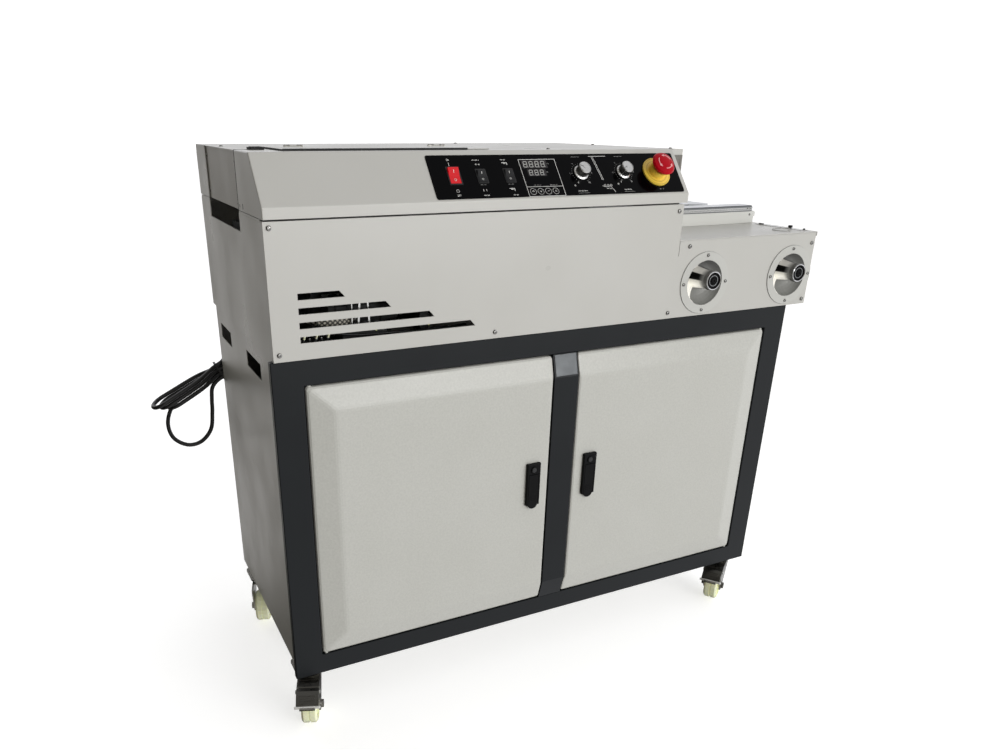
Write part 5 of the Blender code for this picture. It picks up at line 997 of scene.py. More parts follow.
# %% Print the display's frame and the line beside it
frame_corners = [(0.4150, 0.0680), (0.4800, 0.0680), (0.4800, 0.0030), (0.4150, 0.0030)]
put_stroke(bright, frame_corners + frame_corners[:1], 0.00065)
put_stroke(bright, [(0.4150, 0.0198), (0.4800, 0.0198)], 0.00055)
for place in ((0.4660, 0.0600), (0.4600, 0.0450)):
    put_circle(dim, place, 0.0010, 0.0004, steps=10)
for x in (0.4350, 0.4640):
    put_faint_word(dim, (x, 0.0225), 0.0140, 0.0008)
for stroke in ([(0.5510, 0.0705), (0.5575, 0.0290)], [(0.5535, 0.0705), (0.5600, 0.0290)],
               [(0.5460, 0.0722), (0.5780, 0.0722)]):
    put_stroke(bright, stroke, BOLD)
for x in (0.5200, 0.6030):
    put_faint_word(dim, (x, 0.0715), 0.0160, 0.0008)
print("printed as far as the double line:", len(bright.faces) + len(dim.faces), "faces")

# %% Print the dials' scales
DIALS = [(middle_of(f"dial_{number}")[0], 0.042) for number in (1, 2)]
DIAL_START = 240
TICK_REACH = 0.0156
for dial in DIALS:
    for step in range(21):
        turn = math.radians(DIAL_START - 15 * step)
        far = TICK_REACH + (0.0022 if step % 4 == 0 else 0.0012)
        put_stroke(dim, [polar(dial, TICK_REACH, turn), polar(dial, far, turn)], FINE)
    for step, text in enumerate(("0", "2", "4", "6", "8", "10")):
        turn = math.radians(DIAL_START - 60 * step)
        place = (dial[0] + 0.0204 * math.cos(turn), dial[1] + 0.0200 * math.sin(turn))
        put_text(bright if step in (0, 5) else dim, text, place, 0.0021, 0.00028)
for place in ((0.5030, 0.0200), (0.5860, 0.0210)):
    put_circle(bright, place, 0.0009, 0.0011, steps=12)
for centre, length in (
        ((0.5140, 0.0100), 0.0180), ((0.6010, 0.0100), 0.0150), ((0.5660, 0.0130), 0.0120)):
    put_faint_word(bright, centre, length)
for left, right in ((0.5050, 0.5260), (0.5930, 0.6130)):
    put_stroke(dim, [(left, 0.0062), (right, 0.0062)], FINE)
put_faint_word(dim, (0.6690, 0.0090), 0.0090, 0.0012)
# A curl of sheet leaving a roller is the usual sign beside the second dial.
put_stroke(bright, [
    (0.5540, 0.0180), (0.5600, 0.0160), (0.5700, 0.0175), (0.5750, 0.0060)], BOLD)
for x in (0.5590, 0.5650, 0.5710):
    put_circle(bright, (x, 0.0190), 0.0016, 0.0005, steps=12)
print("printed in all:", len(bright.faces) + len(dim.faces), "faces")
keep("overlay_print_bright", bright, PRINT_WHITE, "machine")
keep("overlay_print_dim", dim, PRINT_DIM, "machine")

# %% [markdown]
# ## Displays and membrane keys
#
# Two rows of unlit segments show behind a smoked window. Each digit is seven
# six-sided bars with a dot beside them. The keys below are soft domes pressed
# into the film, with a printed border.

# %% Unlit digits behind the window
ABOVE_GLASS = 0.00004
# Each row of digits: how many, the first one's left edge, pitch, foot, width, height.
DIGIT_ROWS = (
    (4, 0.4215, 0.0104, 0.0545, 0.0058, 0.0098), (3, 0.4275, 0.0098, 0.0402, 0.0054, 0.0088))


def put_digit(shape, left, bottom, width, height):
    """Add the seven bars and the dot of one digit, a little slanted."""
    bar = width * 0.19
    lean = height * 0.10
    half = height / 2
    ends = [
        ((0, 0), (width, 0)), ((0, half), (width, half)), ((0, height), (width, height)),
        ((0, 0), (0, half)), ((0, half), (0, height)),
        ((width, 0), (width, half)), ((width, half), (width, height))]
    for start, end in ends:
        start, end = Vector(start), Vector(end)
        ahead = (end - start).normalized()
        side = Vector((-ahead.y, ahead.x)) * bar / 2
        start, end = start + ahead * bar * 0.55, end - ahead * bar * 0.55
        tip = ahead * bar / 2
        corners = [start - tip, start - side, end - side, end + tip, end + side, start + side]
        put_outline(shape, [
            (left + c.x + lean * c.y / height, bottom + c.y) for c in corners],
            PRINT_LOW + ABOVE_GLASS, PRINT_HIGH + ABOVE_GLASS, SLOPE)
    dot = left + width * 1.24
    put_outline(shape, arc((dot, bottom), bar * 0.55, 0, 315, 7), PRINT_LOW, PRINT_HIGH, SLOPE)


window = bmesh.new()
for sides in ((0.4190, 0.0525, 0.4640, 0.0665), (0.4250, 0.0385, 0.4580, 0.0508)):
    put_outline(window, rectangle(*sides), 0.0008, 0.00114, SLOPE)
keep("display_windows", window, DARK_WINDOW, "machine", edge=0.0001, segments=1)
digits = bmesh.new()
for count, left, pitch, foot, width, height in DIGIT_ROWS:
    for i in range(count):
        put_digit(digits, left + pitch * i, foot, width, height)
keep("display_segments", digits, DIGIT_GREY, "machine")
print("digits:", sum(row[0] for row in DIGIT_ROWS))

# %% Membrane keys
KEY_MIDDLES = (0.4240, 0.4375, 0.4510, 0.4645)
KEY_UP = 0.0115
ON_KEY = {"low": 0.0015, "high": 0.00162}
OFF_FACE = SLOPE.to_3x3() @ Vector((0, 0, 1))
domes = bmesh.new()
borders = bmesh.new()
for x in KEY_MIDDLES:
    put_turned(domes, [(0.0048, 0), (0.0044, 0.00022), (0.0030, 0.00040), (0, 0.00046)],
               facing(on_slope(x, KEY_UP, 0.0011), OFF_FACE), 20)
    put_circle(borders, (x, KEY_UP), 0.0053, 0.0004, steps=24)
for x, tip in ((KEY_MIDDLES[0], 0.0014), (KEY_MIDDLES[1], -0.0014)):
    arrow = [(x - 0.0016, KEY_UP - tip / 2), (x, KEY_UP + tip), (x + 0.0016, KEY_UP - tip / 2)]
    put_stroke(borders, arrow, BOLD, **ON_KEY)
put_stroke(borders, [(0.4498, KEY_UP), (0.4522, KEY_UP)], BOLD, **ON_KEY)
put_circle(borders, (KEY_MIDDLES[3], KEY_UP), 0.0012, 0.0005, steps=14, **ON_KEY)
keep("membrane_key_domes", domes, OVERLAY_FILM, "machine", smooth=50)
keep("membrane_key_print", borders, PRINT_WHITE, "machine")
print("keys:", len(KEY_MIDDLES))

# %% [markdown]
# ## Switches, dials and the stop button
#
# Each rocker sits in a moulded frame with a small step round it. Its signs are
# printed on the rocker and tilt with it. The dials carry a scribed pointer line.
# The stop button has three arrows that show the way to twist it, and a yellow
# ring whose turned groove is drawn as two ochre lines of painted shade.

# %% Rocker frames and signs
CORNER_STEPS = 4


def put_rim(shape, inner, outer, low, high):
    """Add a flat rim on the control face between two outlines with equally many points."""
    rings = []
    for outline, level in ((inner, low), (outer, low), (outer, high), (inner, high)):
        rings.append([shape.verts.new(SLOPE @ Vector((x, y, level))) for x, y in outline])
    put_ring_walls(shape, rings + rings[:1])


def round_box(middle, half_x, half_y, corner):
    """The outline of a rectangle with round corners."""
    outline = []
    for turn, x, y in ((0, 1, 1), (90, -1, 1), (180, -1, -1), (270, 1, -1)):
        centre = (middle[0] + x * (half_x - corner), middle[1] + y * (half_y - corner))
        outline += arc(centre, corner, turn, turn + 90, CORNER_STEPS)
    return outline


ROCKERS = (
    ("main_rocker", 0.0415, 0.0170, 0.0250), ("small_rocker_1", 0.0400, 0.0130, 0.0190),
    ("small_rocker_2", 0.0400, 0.0130, 0.0190))
ROCKER_TILT = math.radians(9.0)
ROCKER_CREST = 0.0024
ROCKER_PEAK = 0.0042
frames = bmesh.new()
for name, up, width, height in ROCKERS:
    x = middle_of(name)[0]
    inner = round_box((x, up), width / 2 + 0.0004, height / 2 + 0.0009, 0.0006)
    for grow, low, high in ((0.0024, 0.0011, 0.0019), (0.0014, 0.0019, 0.0024)):
        outer = round_box((x, up), width / 2 + grow, height / 2 + grow + 0.0006, 0.0016)
        put_rim(frames, inner, outer, low, high)
keep("rocker_frames", frames, BLACK_ABS, "machine", edge=0.00025)

for name, up, width, height in ROCKERS:
    face = math.atan2(ROCKER_PEAK - ROCKER_CREST, height / 2)
    tilted = SLOPE @ placed((middle_of(name)[0], up, 0), ROCKER_TILT)
    upper = tilted @ placed((0, 0, ROCKER_CREST), face)
    lower = tilted @ placed((0, 0, ROCKER_CREST), -face)
    signs = bmesh.new()
    put_stroke(signs, [(0, height * 0.20), (0, height * 0.34)], 0.0008, upper, 0, 0.00012)
    put_circle(signs, (0, -height * 0.27), height * 0.065, BOLD, steps=16,
               seat=lower, low=0, high=0.00012)
    keep(f"{name}_signs", signs, PRINT_WHITE, f"{name}_button")

# %% Dial pointers
for number, dial in enumerate(DIALS, 1):
    pointer = bmesh.new()
    turn = math.radians(115 + 40 * number)
    put_stroke(pointer, [polar(dial, 0.0030, turn), polar(dial, 0.0090, turn)], 0.0009,
               low=0.0160, high=0.01655)
    keep(f"dial_{number}_pointer", pointer, PRINT_DARK, f"dial_{number}_knob")
    rings = bmesh.new()
    top = facing(on_slope(*dial, 0.0164), OFF_FACE)
    put_turned(rings, [(0.0093, 0), (0.0091, 0.0004), (0.0087, 0.0004), (0.0085, 0)], top, 36)
    put_turned(rings, [(0.0030, 0), (0.0028, 0.0003), (0, 0.00035)], top)
    keep(f"dial_{number}_turned_rings", rings, TURNED_ALUMINIUM, f"dial_{number}_knob", smooth=30)

# %% Stop button arrows and ring
STOP = (middle_of("stop_base")[0], 0.040)
STOP_LEVEL = 0.0014
ARROW_REACH = 0.0120
CROWN = ((0.0205, 0.02267), (0.01858, 0.02534), (0.01318, 0.02752), (0.00633, 0.02869), (0, 0.0290))


def crown_height(reach):
    """The height of the button's crown at a distance from its middle."""
    for (far, low), (near, high) in zip(CROWN, CROWN[1:]):
        if near <= reach <= far:
            return low + (high - low) * (far - reach) / (far - near)
    return CROWN[-1][1]


def put_crown_band(shape, start, end, width_at, middle, steps=10):
    """Add a band that lies on the crown round its middle, as wide as a function says."""
    rings = []
    for step in range(steps + 1):
        share = step / steps
        turn = math.radians(start + (end - start) * share)
        half = width_at(share) / 2
        ring = []
        for reach, lift in ((middle - half, 0.0), (middle - half, 0.00025),
                            (middle + half, 0.00025), (middle + half, 0.0)):
            level = STOP_LEVEL + crown_height(reach) + lift
            ring.append(shape.verts.new(SLOPE @ Vector((*polar(STOP, reach, turn), level))))
        rings.append(ring)
    put_ring_walls(shape, rings)
    shape.faces.new(rings[0])
    shape.faces.new(rings[-1])


arrows = bmesh.new()
for k in range(3):
    start = 120 * k
    put_crown_band(arrows, start + 20, start + 82, lambda share: 0.0013, ARROW_REACH)
    put_crown_band(
        arrows, start + 82, start + 104, lambda share: 0.0046 * (1.02 - share), ARROW_REACH, 4)
keep("stop_twist_arrows", arrows, PRINT_PINK, "stop_mushroom")
# The two ochre rings are painted shade in the ring's turned groove.
groove_shades = bmesh.new()
for radius in (0.0237, 0.0188):
    put_circle(groove_shades, STOP, radius, 0.0004, steps=48, low=0.0039, high=0.0040)
keep("stop_ring_groove_shades", groove_shades, GROOVE_SHADE_OCHRE, "machine")
print("rockers:", len(ROCKERS), "dials:", len(DIALS), "stop button at", STOP)

# %% [markdown]
# ## Dishes, knobs and latches
#
# Each adjusting knob has a bright rim round a black face with turned rings and a
# small screw in its middle. Below it the spun cone flares into the dish. The
# latches are pull-to-open, with a keyed barrel near the top of each.

# %% Knob faces
KNOB_FRONT = 0.0235
KNOB_REACH = 0.0165
KNOB_Z = DISH_Z + CONE_RISE
for number, centre in enumerate(DISHES, 1):
    seat = facing(spot(centre, FACE_Y, KNOB_Z), FRONT)
    knob = f"adjust_knob_{number}"
    body = f"{knob}_turn"
    turned_piece(f"{knob}_rim", CHROME, body, [
        (KNOB_REACH - 0.0026, KNOB_FRONT - 0.0018), (KNOB_REACH - 0.0022, KNOB_FRONT + 0.0003),
        (KNOB_REACH - 0.0015, KNOB_FRONT + 0.0008), (KNOB_REACH - 0.0008, KNOB_FRONT + 0.0004),
        (KNOB_REACH - 0.0006, KNOB_FRONT - 0.0001)], seat, 48, smooth=35)
    turned_piece(f"{knob}_sleeve", SLEEVE_STEEL, body, [
        (KNOB_REACH - 0.0007, KNOB_FRONT - 0.0001), (KNOB_REACH + 0.0002, KNOB_FRONT - 0.0002),
        (KNOB_REACH + 0.0008, KNOB_FRONT - 0.0014), (KNOB_REACH + 0.0008, KNOB_FRONT - 0.0078),
        (KNOB_REACH + 0.0001, KNOB_FRONT - 0.0079)], seat, 48, smooth=35)
    face = bmesh.new()
    level = KNOB_FRONT - 0.0014
    for edge in (0.0125, 0.0065):
        put_turned(face, [
            (edge, level - 0.0002), (edge - 0.0003, level + 0.0006),
            (edge - 0.0012, level + 0.0006), (edge - 0.0015, level - 0.0002)], seat, 40)
    put_turned(face, [
        (0.0046, level - 0.0002), (0.0044, level + 0.0012), (0.0036, level + 0.0015),
        (0.0022, level + 0.0014), (0.0020, level + 0.0002), (0, level)], seat)
    keep(f"{knob}_face_rings", face, KNOB_FACE, body, smooth=30)
    turned_piece(f"{knob}_inlay", NIP_STEEL, body, [
        (0.0096, level - 0.0002), (0.0095, level + 0.0008), (0.0089, level + 0.0009),
        (0.0084, level + 0.0008), (0.0083, level - 0.0002)], seat, 48)

# %% Joint between flange and panel
for number, centre in enumerate(DISHES, 1):
    turned_piece(f"dish_{number}_joint", PRINT_DIM, "machine", [
        (0.0535, 0.0003), (0.0535, 0.0008), (0.0541, 0.0009), (0.0545, 0.0004), (0.0545, 0.0001)],
        facing(spot(centre, FACE_Y, DISH_Z), FRONT), 64)
print("dishes stand at", DISHES)

# %% Latch barrels
LATCH_FACE_Y = side_of("latch_left", "front")
BARREL_Z = side_of("latch_left", "top") - 0.0120
for side in ("left", "right"):
    middle = middle_of(f"latch_{side}")[0]
    leaf = f"door_{side}_leaf"
    barrel = facing(spot(middle, LATCH_FACE_Y, BARREL_Z), FRONT)
    turned_piece(f"latch_{side}_collar", LATCH_BLACK, leaf, [
        (0.0068, -0.0002), (0.0068, 0.0006), (0.0062, 0.0012), (0.0052, 0.0012),
        (0.0049, 0.0006)], barrel, 36)
    turned_piece(f"latch_{side}_plug", BLACK_CHROME, leaf, [
        (0.0048, 0.0002), (0.0048, 0.0009), (0.0044, 0.0012), (0, 0.0012)], barrel, 30, smooth=30)
    # The black keyway is painted shade in the key slot.
    keyway_shade = bmesh.new()
    put_outline(keyway_shade, [
        (-0.0005, -0.0026), (0.0005, -0.0026), (0.0005, -0.0006), (0.0010, 0.0004),
        (0.0005, 0.0022), (-0.0005, 0.0022), (-0.0010, 0.0004), (-0.0005, -0.0006)],
        0.0012, 0.00135, barrel)
    keep(f"latch_{side}_keyway", keyway_shade, PRINT_DARK, leaf)
    ribs = bmesh.new()
    for step in range(3):
        low = 0.3480 + 0.0038 * step
        put_box(ribs, (middle - 0.0070, LATCH_FACE_Y - 0.0005, low),
                (middle + 0.0070, LATCH_FACE_Y + 0.0004, low + 0.0014))
    keep(f"latch_{side}_thumb_ribs", ribs, LATCH_BLACK, f"latch_{side}_lever", edge=0.0004)
print("knobs dressed:", len(DISHES), "latches dressed: 2")

# %% [markdown]
# ## Castors
#
# The castors are twin-race plate castors with cast nylon wheels. Under the plate
# runs the ball race with its dust lip, and four hexagon bolts hold the plate. The
# axle is a bolt with a nut. The front castors have a brake pedal: a pressed tread
# with raised ribs and a rolled lip, whose near-white zinc is a painted highlight.

# %% Castor tools
HEADINGS = {"front_left": -111.0, "front_right": -144.5, "rear_left": -108.0, "rear_right": -128.0}
AXLE = (0.030, 0.03175)
CHEEK_OUTSIDE = 0.0181
HUB_OUTSIDE = 0.0100
BOLT_REACH = 0.0205
PLATE_UNDERSIDE = 0.0910


def castor_seat(castor):
    """A seat on the floor under a castor's swivel, whose X axis trails with the wheel."""
    x, y, _ = middle_of(f"castor_{castor}_plate")
    return DRAWING @ placed((x, y, 0), math.radians(HEADINGS[castor]), "Z")


def on_side(seat, side, x, out, z):
    """A seat on a castor's right (-1) or left (1) side that faces outwards."""
    return seat @ placed((x, side * out, z), -side * math.pi / 2)


def hexagon(across):
    """A hexagon's outline, by its size across flats."""
    reach = across / 2 / math.cos(math.radians(30))
    return [polar((0, 0), reach, math.radians(60 * i)) for i in range(6)]


def put_hex_head(shape, seat, across, height):
    """Add a hexagon head or nut with a washer under it, standing on the seat's plane."""
    washer = height * 0.18
    shoulder = height * 0.85
    put_turned(shape, [(0, 0), (across * 0.66, 0), (across * 0.66, washer), (0, washer)], seat)
    put_outline(shape, hexagon(across), washer, shoulder, seat)
    put_turned(shape, [(across * 0.46, shoulder), (across * 0.40, height), (0, height)], seat, 18)


# %% Races, bolts and axles
for castor in CASTORS:
    seat = castor_seat(castor)
    swivel = f"{castor}_swivel"
    race = bmesh.new()
    put_turned(race, [
        (0.0212, 0.0852), (0.0226, 0.0856), (0.0232, 0.0868), (0.0228, 0.0880), (0.0212, 0.0884)],
        seat, 36)
    put_turned(race, [
        (0.0212, 0.0890), (0.0236, 0.0893), (0.0236, 0.0903), (0.0212, 0.0908)], seat, 36)
    keep(f"castor_{castor}_race_lips", race, ZINC_PLATE, "machine", smooth=40)
    bolts = bmesh.new()
    x, y, _ = middle_of(f"castor_{castor}_plate")
    for across in (-BOLT_REACH, BOLT_REACH):
        for along in (-BOLT_REACH, BOLT_REACH):
            hanging = placed((x + across, y + along, PLATE_UNDERSIDE), math.pi)
            put_hex_head(bolts, DRAWING @ hanging, 0.0090, 0.0042)
    keep(f"castor_{castor}_plate_bolts", bolts, SCREW_STEEL, "machine", edge=0.0003)
    nuts = bmesh.new()
    caps = bmesh.new()
    for side in (-1, 1):
        put_hex_head(nuts, on_side(seat, side, AXLE[0], CHEEK_OUTSIDE, AXLE[1]), 0.0120, 0.0052)
        put_turned(caps, [
            (0.0070, 0), (0.0100, 0.0002), (0.0106, 0.0010), (0.0100, 0.0022), (0.0070, 0.0026)],
            on_side(seat, side, AXLE[0], HUB_OUTSIDE, AXLE[1]), 28)
    keep(f"castor_{castor}_axle_nuts", nuts, SCREW_STEEL, swivel, edge=0.0004)
    turned_piece(f"castor_{castor}_kingpin_head", ZINC_PLATE, swivel, [
        (0.0075, 0.0815), (0.0070, 0.0800), (0.0045, 0.0790), (0, 0.0787)], seat, smooth=50)
    keep(f"castor_{castor}_hub_caps", caps, RUBBER, f"{castor}_roller", smooth=40)

# %% Brake hoods and pedals
PEDAL_HALF = 0.0192
PEDAL_SHEET = 0.0012
PEDAL_PIN = (0.0500, 0.0737)
HOOD_PATH = ((0.0080, 0.0836), (0.0400, 0.0836), (0.0470, 0.0812), (0.0490, 0.0780))
HOOD_CHEEK = (
    (0.0080, 0.0830), (0.0400, 0.0830), (0.0478, 0.0790), (0.0478, 0.0700), (0.0400, 0.0640),
    (0.0080, 0.0700))
PEDAL_PATH = (
    (0.0500, 0.0806), (0.0560, 0.0794), (0.0620, 0.0758), (0.0680, 0.0704), (0.0730, 0.0648),
    (0.0748, 0.0616))
PEDAL_CHEEK = (
    (0.0510, 0.0796), (0.0560, 0.0788), (0.0620, 0.0752), (0.0680, 0.0698), (0.0726, 0.0646),
    (0.0690, 0.0630), (0.0600, 0.0660), (0.0510, 0.0700))
LIP_RADIUS = 0.0025
LIP_OVER = 0.0026
SPRING_COILS = 9


def put_pressing(shape, seat, path, cheek):
    """Add a bent sheet whose outer face follows a path, and a cheek at each of its sides."""
    inside = [(a - PEDAL_SHEET * 0.7, b - PEDAL_SHEET) for a, b in reversed(path)]
    put_outline(shape, list(path) + inside, -PEDAL_HALF, PEDAL_HALF, seat, axis=1)
    for side in (-1, 1):
        edges = sorted((side * PEDAL_HALF, side * (PEDAL_HALF - PEDAL_SHEET)))
        put_outline(shape, cheek, *edges, seat, axis=1)


for castor in CASTORS[:2]:
    seat = castor_seat(castor)
    swivel = f"{castor}_swivel"
    pedal = f"{castor}_pedal"
    cover = bmesh.new()
    put_pressing(cover, seat, HOOD_PATH, HOOD_CHEEK)
    keep(f"castor_{castor}_brake_hood", cover, PEDAL_STEEL, swivel, edge=0.0004)
    tread = bmesh.new()
    put_pressing(tread, seat, PEDAL_PATH, PEDAL_CHEEK)
    keep(f"castor_{castor}_pedal_tread", tread, PEDAL_STEEL, pedal, edge=0.0004)
    end = PEDAL_PATH[-1]
    rolled = placed((end[0], -PEDAL_HALF - LIP_OVER, end[1] - 0.0014), -math.pi / 2)
    reach = 2 * (PEDAL_HALF + LIP_OVER)
    # The lip's near-white zinc is a painted highlight.
    turned_piece(f"castor_{castor}_pedal_lip", LIP_HIGHLIGHT_ZINC, pedal, [
        (0, 0), (LIP_RADIUS * 0.7, 0), (LIP_RADIUS, 0.0008), (LIP_RADIUS, reach - 0.0008),
        (LIP_RADIUS * 0.7, reach), (0, reach)], seat @ rolled, 18)
    ribs = bmesh.new()
    high, low = Vector(PEDAL_PATH[2]), Vector(PEDAL_PATH[4])
    slope = math.atan2(high.y - low.y, low.x - high.x)
    for step in range(4):
        middle = high.lerp(low, 0.10 + 0.26 * step)
        rib = placed((middle.x, 0, middle.y), slope, "Y")
        put_box(ribs, (-0.0007, -0.0130, -0.0002), (0.0007, 0.0130, 0.0009), seat @ rib)
    keep(f"castor_{castor}_pedal_ribs", ribs, PEDAL_STEEL, pedal, edge=0.0004)
    spring = bmesh.new()
    pin = placed((PEDAL_PIN[0], -0.0170, PEDAL_PIN[1]), -math.pi / 2)
    for coil in range(SPRING_COILS):
        low = 0.0012 + coil * 0.0016
        put_turned(spring, [
            (0.0030, low), (0.0038, low + 0.0003), (0.0041, low + 0.0007), (0.0038, low + 0.0011),
            (0.0030, low + 0.0014)], seat @ pin, 18)
    keep(f"castor_{castor}_pedal_spring", spring, BRIGHT_STEEL, pedal, smooth=40)
    heads = bmesh.new()
    for side in (-1, 1):
        put_turned(heads, [(0.0040, -0.0002), (0.0040, 0.0012), (0.0032, 0.0020), (0, 0.0022)],
                   on_side(seat, side, PEDAL_PIN[0], PEDAL_HALF, PEDAL_PIN[1]), 18)
    keep(f"castor_{castor}_pin_heads", heads, BRIGHT_STEEL, swivel, smooth=40)
print("castors dressed:", len(CASTORS))

# %% [markdown]
# ## Behind the vents
#
# Through the four vents one sees the dark drive room: a pale braided sleeve that
# holds the heater's leads, a few bright folded brackets, two white clips, and
# loose black wires on their way down into the cabinet, past a terminal block.

# %% Braided sleeve and wires
def swept(name, places, radius, finish):
    """A wire or sleeve through a few places on the drawing, smoothed."""
    points = [Vector(p) for p in places]
    first = points[0] + (points[0] - points[1]) * 0.01
    last = points[-1] + (points[-1] - points[-2]) * 0.01
    route = smooth_through([first] + points + [last])
    bent_rod(name, [DRAWING @ p for p in route], radius, finish, "machine")


swept("braided_sleeve", [
    (0.074, 0.046, 0.6950), (0.082, 0.026, 0.6945), (0.100, 0.018, 0.6945), (0.120, 0.018, 0.6950),
    (0.134, 0.026, 0.6960)], 0.0078, GLASS_BRAID)
swept("drive_lead_1", [
    (0.070, 0.060, 0.7000), (0.090, 0.018, 0.6830), (0.130, 0.016, 0.6720), (0.190, 0.018, 0.6690),
    (0.260, 0.020, 0.6660), (0.330, 0.040, 0.6640)], 0.0016, BLACK_ABS)
swept("drive_lead_2", [
    (0.072, 0.062, 0.6960), (0.094, 0.026, 0.6790), (0.134, 0.022, 0.6700), (0.200, 0.026, 0.6660),
    (0.300, 0.044, 0.6620)], 0.0014, BLACK_ABS)

# %% Brackets, clamps and clips in the drive room
brackets = bmesh.new()
for x, width, lean in (
        (0.1262, 0.0020, 0.0006), (0.1352, 0.0034, 0.0030), (0.1528, 0.0030, -0.0022)):
    put_outline(brackets, [
        (x, 0.6860), (x + width, 0.6860), (x + width + lean, 0.7240), (x + lean, 0.7240)],
        0.0060, 0.0105, axis=1)
put_outline(brackets, [
    (0.0002, 0.7236), (0.0120, 0.7236), (0.0120, 0.7250), (0.0014, 0.7250), (0.0014, 0.7300),
    (0.0002, 0.7300)], 0.0950, 0.1800, axis=0)
keep("drive_room_brackets", brackets, BRIGHT_STEEL, "machine", edge=0.0004)
clamps = bmesh.new()
for place, heading in (
        ((0.0835, 0.0245, 0.6945), (1, -0.8, 0)), ((0.1320, 0.0245, 0.6958), (1, 0.5, 0))):
    put_turned(clamps, [(0.0079, -0.0018), (0.0088, -0.0016), (0.0088, 0.0016), (0.0079, 0.0018)],
               facing(spot(*place), heading))
keep("sleeve_clamps", clamps, BRIGHT_STEEL, "machine", smooth=40)
clips = bmesh.new()
for x in (0.1625, 0.2480):
    put_turned(clips, [(0.0024, 0), (0.0024, 0.0040), (0.0018, 0.0052), (0, 0.0054)],
               facing(spot(x, 0.0000, 0.6812), BACK), 18)
keep("panel_clips", clips, GLOWING_NYLON, "machine", smooth=40)

# %% Terminals in the drive room
TERMINALS = [0.0500 + 0.0090 * step for step in range(5)]
TERMINAL_TOP = 0.6735
block = bmesh.new()
for left in TERMINALS:
    put_box(block, (left, 0.0060, 0.6490), (left + 0.0084, 0.0240, 0.6700))
    put_box(block, (left + 0.0026, 0.0090, 0.6700), (left + 0.0058, 0.0200, TERMINAL_TOP))
keep("terminal_block", block, RUBBER, "machine", edge=0.0006)
screws("terminal_screws", [(x + 0.0042, 0.0120, TERMINAL_TOP) for x in TERMINALS], UP, "M2")
ferrules = bmesh.new()
for x in TERMINALS[::2]:
    put_turned(ferrules, [
        (0.0013, 0), (0.0013, 0.0040), (0.0018, 0.0048), (0.0018, 0.0080), (0, 0.0082)],
        facing(spot(x + 0.0042, 0.0064, TERMINAL_TOP + 0.0010), (0, -0.6, 1)), 14)
keep("wire_ferrules", ferrules, GLOWING_NYLON, "machine", smooth=40)
print("terminals:", len(TERMINALS), "of them wired:", len(TERMINALS[::2]))

# %% [markdown]
# ## The hood's ends and its lid
#
# The hood is folded from three sheets. A black strip of painted shade fills the
# seam between them at the left end, a rubber strip behind the front seam keeps
# light out, and a painted strip closes the slit between the hood and the side
# wall. The two slots in the left end are black patches of painted shade. A black
# rubber strip along the lid's front edge is painted shade under that edge, and a
# square rubber buffer next to it keeps the opened lid off the paint.

# %% Seal behind the hood's front seam
outlined("hood_front_seal", RUBBER, [([
    (0.0085, 0.8396), (0.0115, 0.8396), (0.0115, 0.8440), (0.0105, 0.8448), (0.0095, 0.8448),
    (0.0085, 0.8440)], 0.0080, 0.7150)], smooth=40)

# %% Left end of the hood
LEFT_WALL = side_of("hood_body", "left")
# The seam's black strip is painted shade in the gap between the sheets.
outlined("hood_seam_shade_strip", RUBBER, [
    (rectangle(0.1374, 0.8424, 0.1390, 0.9226), LEFT_WALL - 0.0002, LEFT_WALL + 0.0014),
    (rectangle(0.1374, 0.9220, 0.1390, 0.9241), LEFT_WALL + 0.0002, LEFT_WALL + 0.0200)])

strips = bmesh.new()
for near, far in ((0.0125, 0.1405), (0.3725, 0.4480)):
    put_box(strips, (LEFT_WALL + 0.0004, near, 0.8372), (LEFT_WALL + 0.0011, far, 0.8410))
    put_box(strips, (LEFT_WALL + 0.0004, near, 0.8360), (LEFT_WALL + 0.0045, far, 0.8372))
keep("hood_side_strips", strips, BODY_PAINT, "machine")

# The two slots are flat black patches: painted shade in their openings.
outlined("hood_end_slot_shades", LATCH_BLACK, [
    (round_box((y, (low + high) / 2), 0.0012, (high - low) / 2, 0.0008),
     LEFT_WALL - 0.00015, LEFT_WALL + 0.0002)
    for y, low, high in ((0.1085, 0.8456, 0.8530), (0.1285, 0.8466, 0.8510))])
END_COVER_SCREWS = ((0.1475, 0.8500), (0.3640, 0.8530), (0.1475, 0.9080), (0.3640, 0.9080))
screws("hood_end_screws", [(LEFT_WALL + 0.0024, y, z) for y, z in END_COVER_SCREWS], LEFT, "M2")
outlined("hood_end_tab", ZINC_PLATE, [([
    (0.1410, 0.8424), (0.1450, 0.8424), (0.1450, 0.8446), (0.1432, 0.8468), (0.1410, 0.8468)],
    LEFT_WALL + 0.0002, LEFT_WALL + 0.0022)], edge=0.0003)
print("the hood's left wall is at", LEFT_WALL)

# %% Painted shade at the lid's edge, buffer and hinge rivets
# The black strip along the lid's front and left edges is painted shade under them, drawn as a
# rubber seal.
lid_edge_shade = bmesh.new()
put_outline(lid_edge_shade, [
    (0.0742, 0.9238), (0.0762, 0.9238), (0.0766, 0.9252), (0.0760, 0.9268), (0.0746, 0.9266),
    (0.0740, 0.9252)], 0.0600, 0.3470, axis=0)
put_outline(lid_edge_shade, rectangle(0.0590, 0.9238, 0.0600, 0.9262), 0.0742, 0.1950, axis=1)
keep("lid_edge_shade_strip", lid_edge_shade, RUBBER, "lid", smooth=40)

BUFFER_MIDDLE = (0.0375, 0.139)
outlined("lid_buffer", RUBBER, [
    (round_box(BUFFER_MIDDLE, 0.0105, 0.0110, 0.0020), HOOD_TOP, 0.9272),
    (round_box(BUFFER_MIDDLE, 0.0080, 0.0085, 0.0016), 0.9272, 0.9279)], axis=2, edge=0.0006)

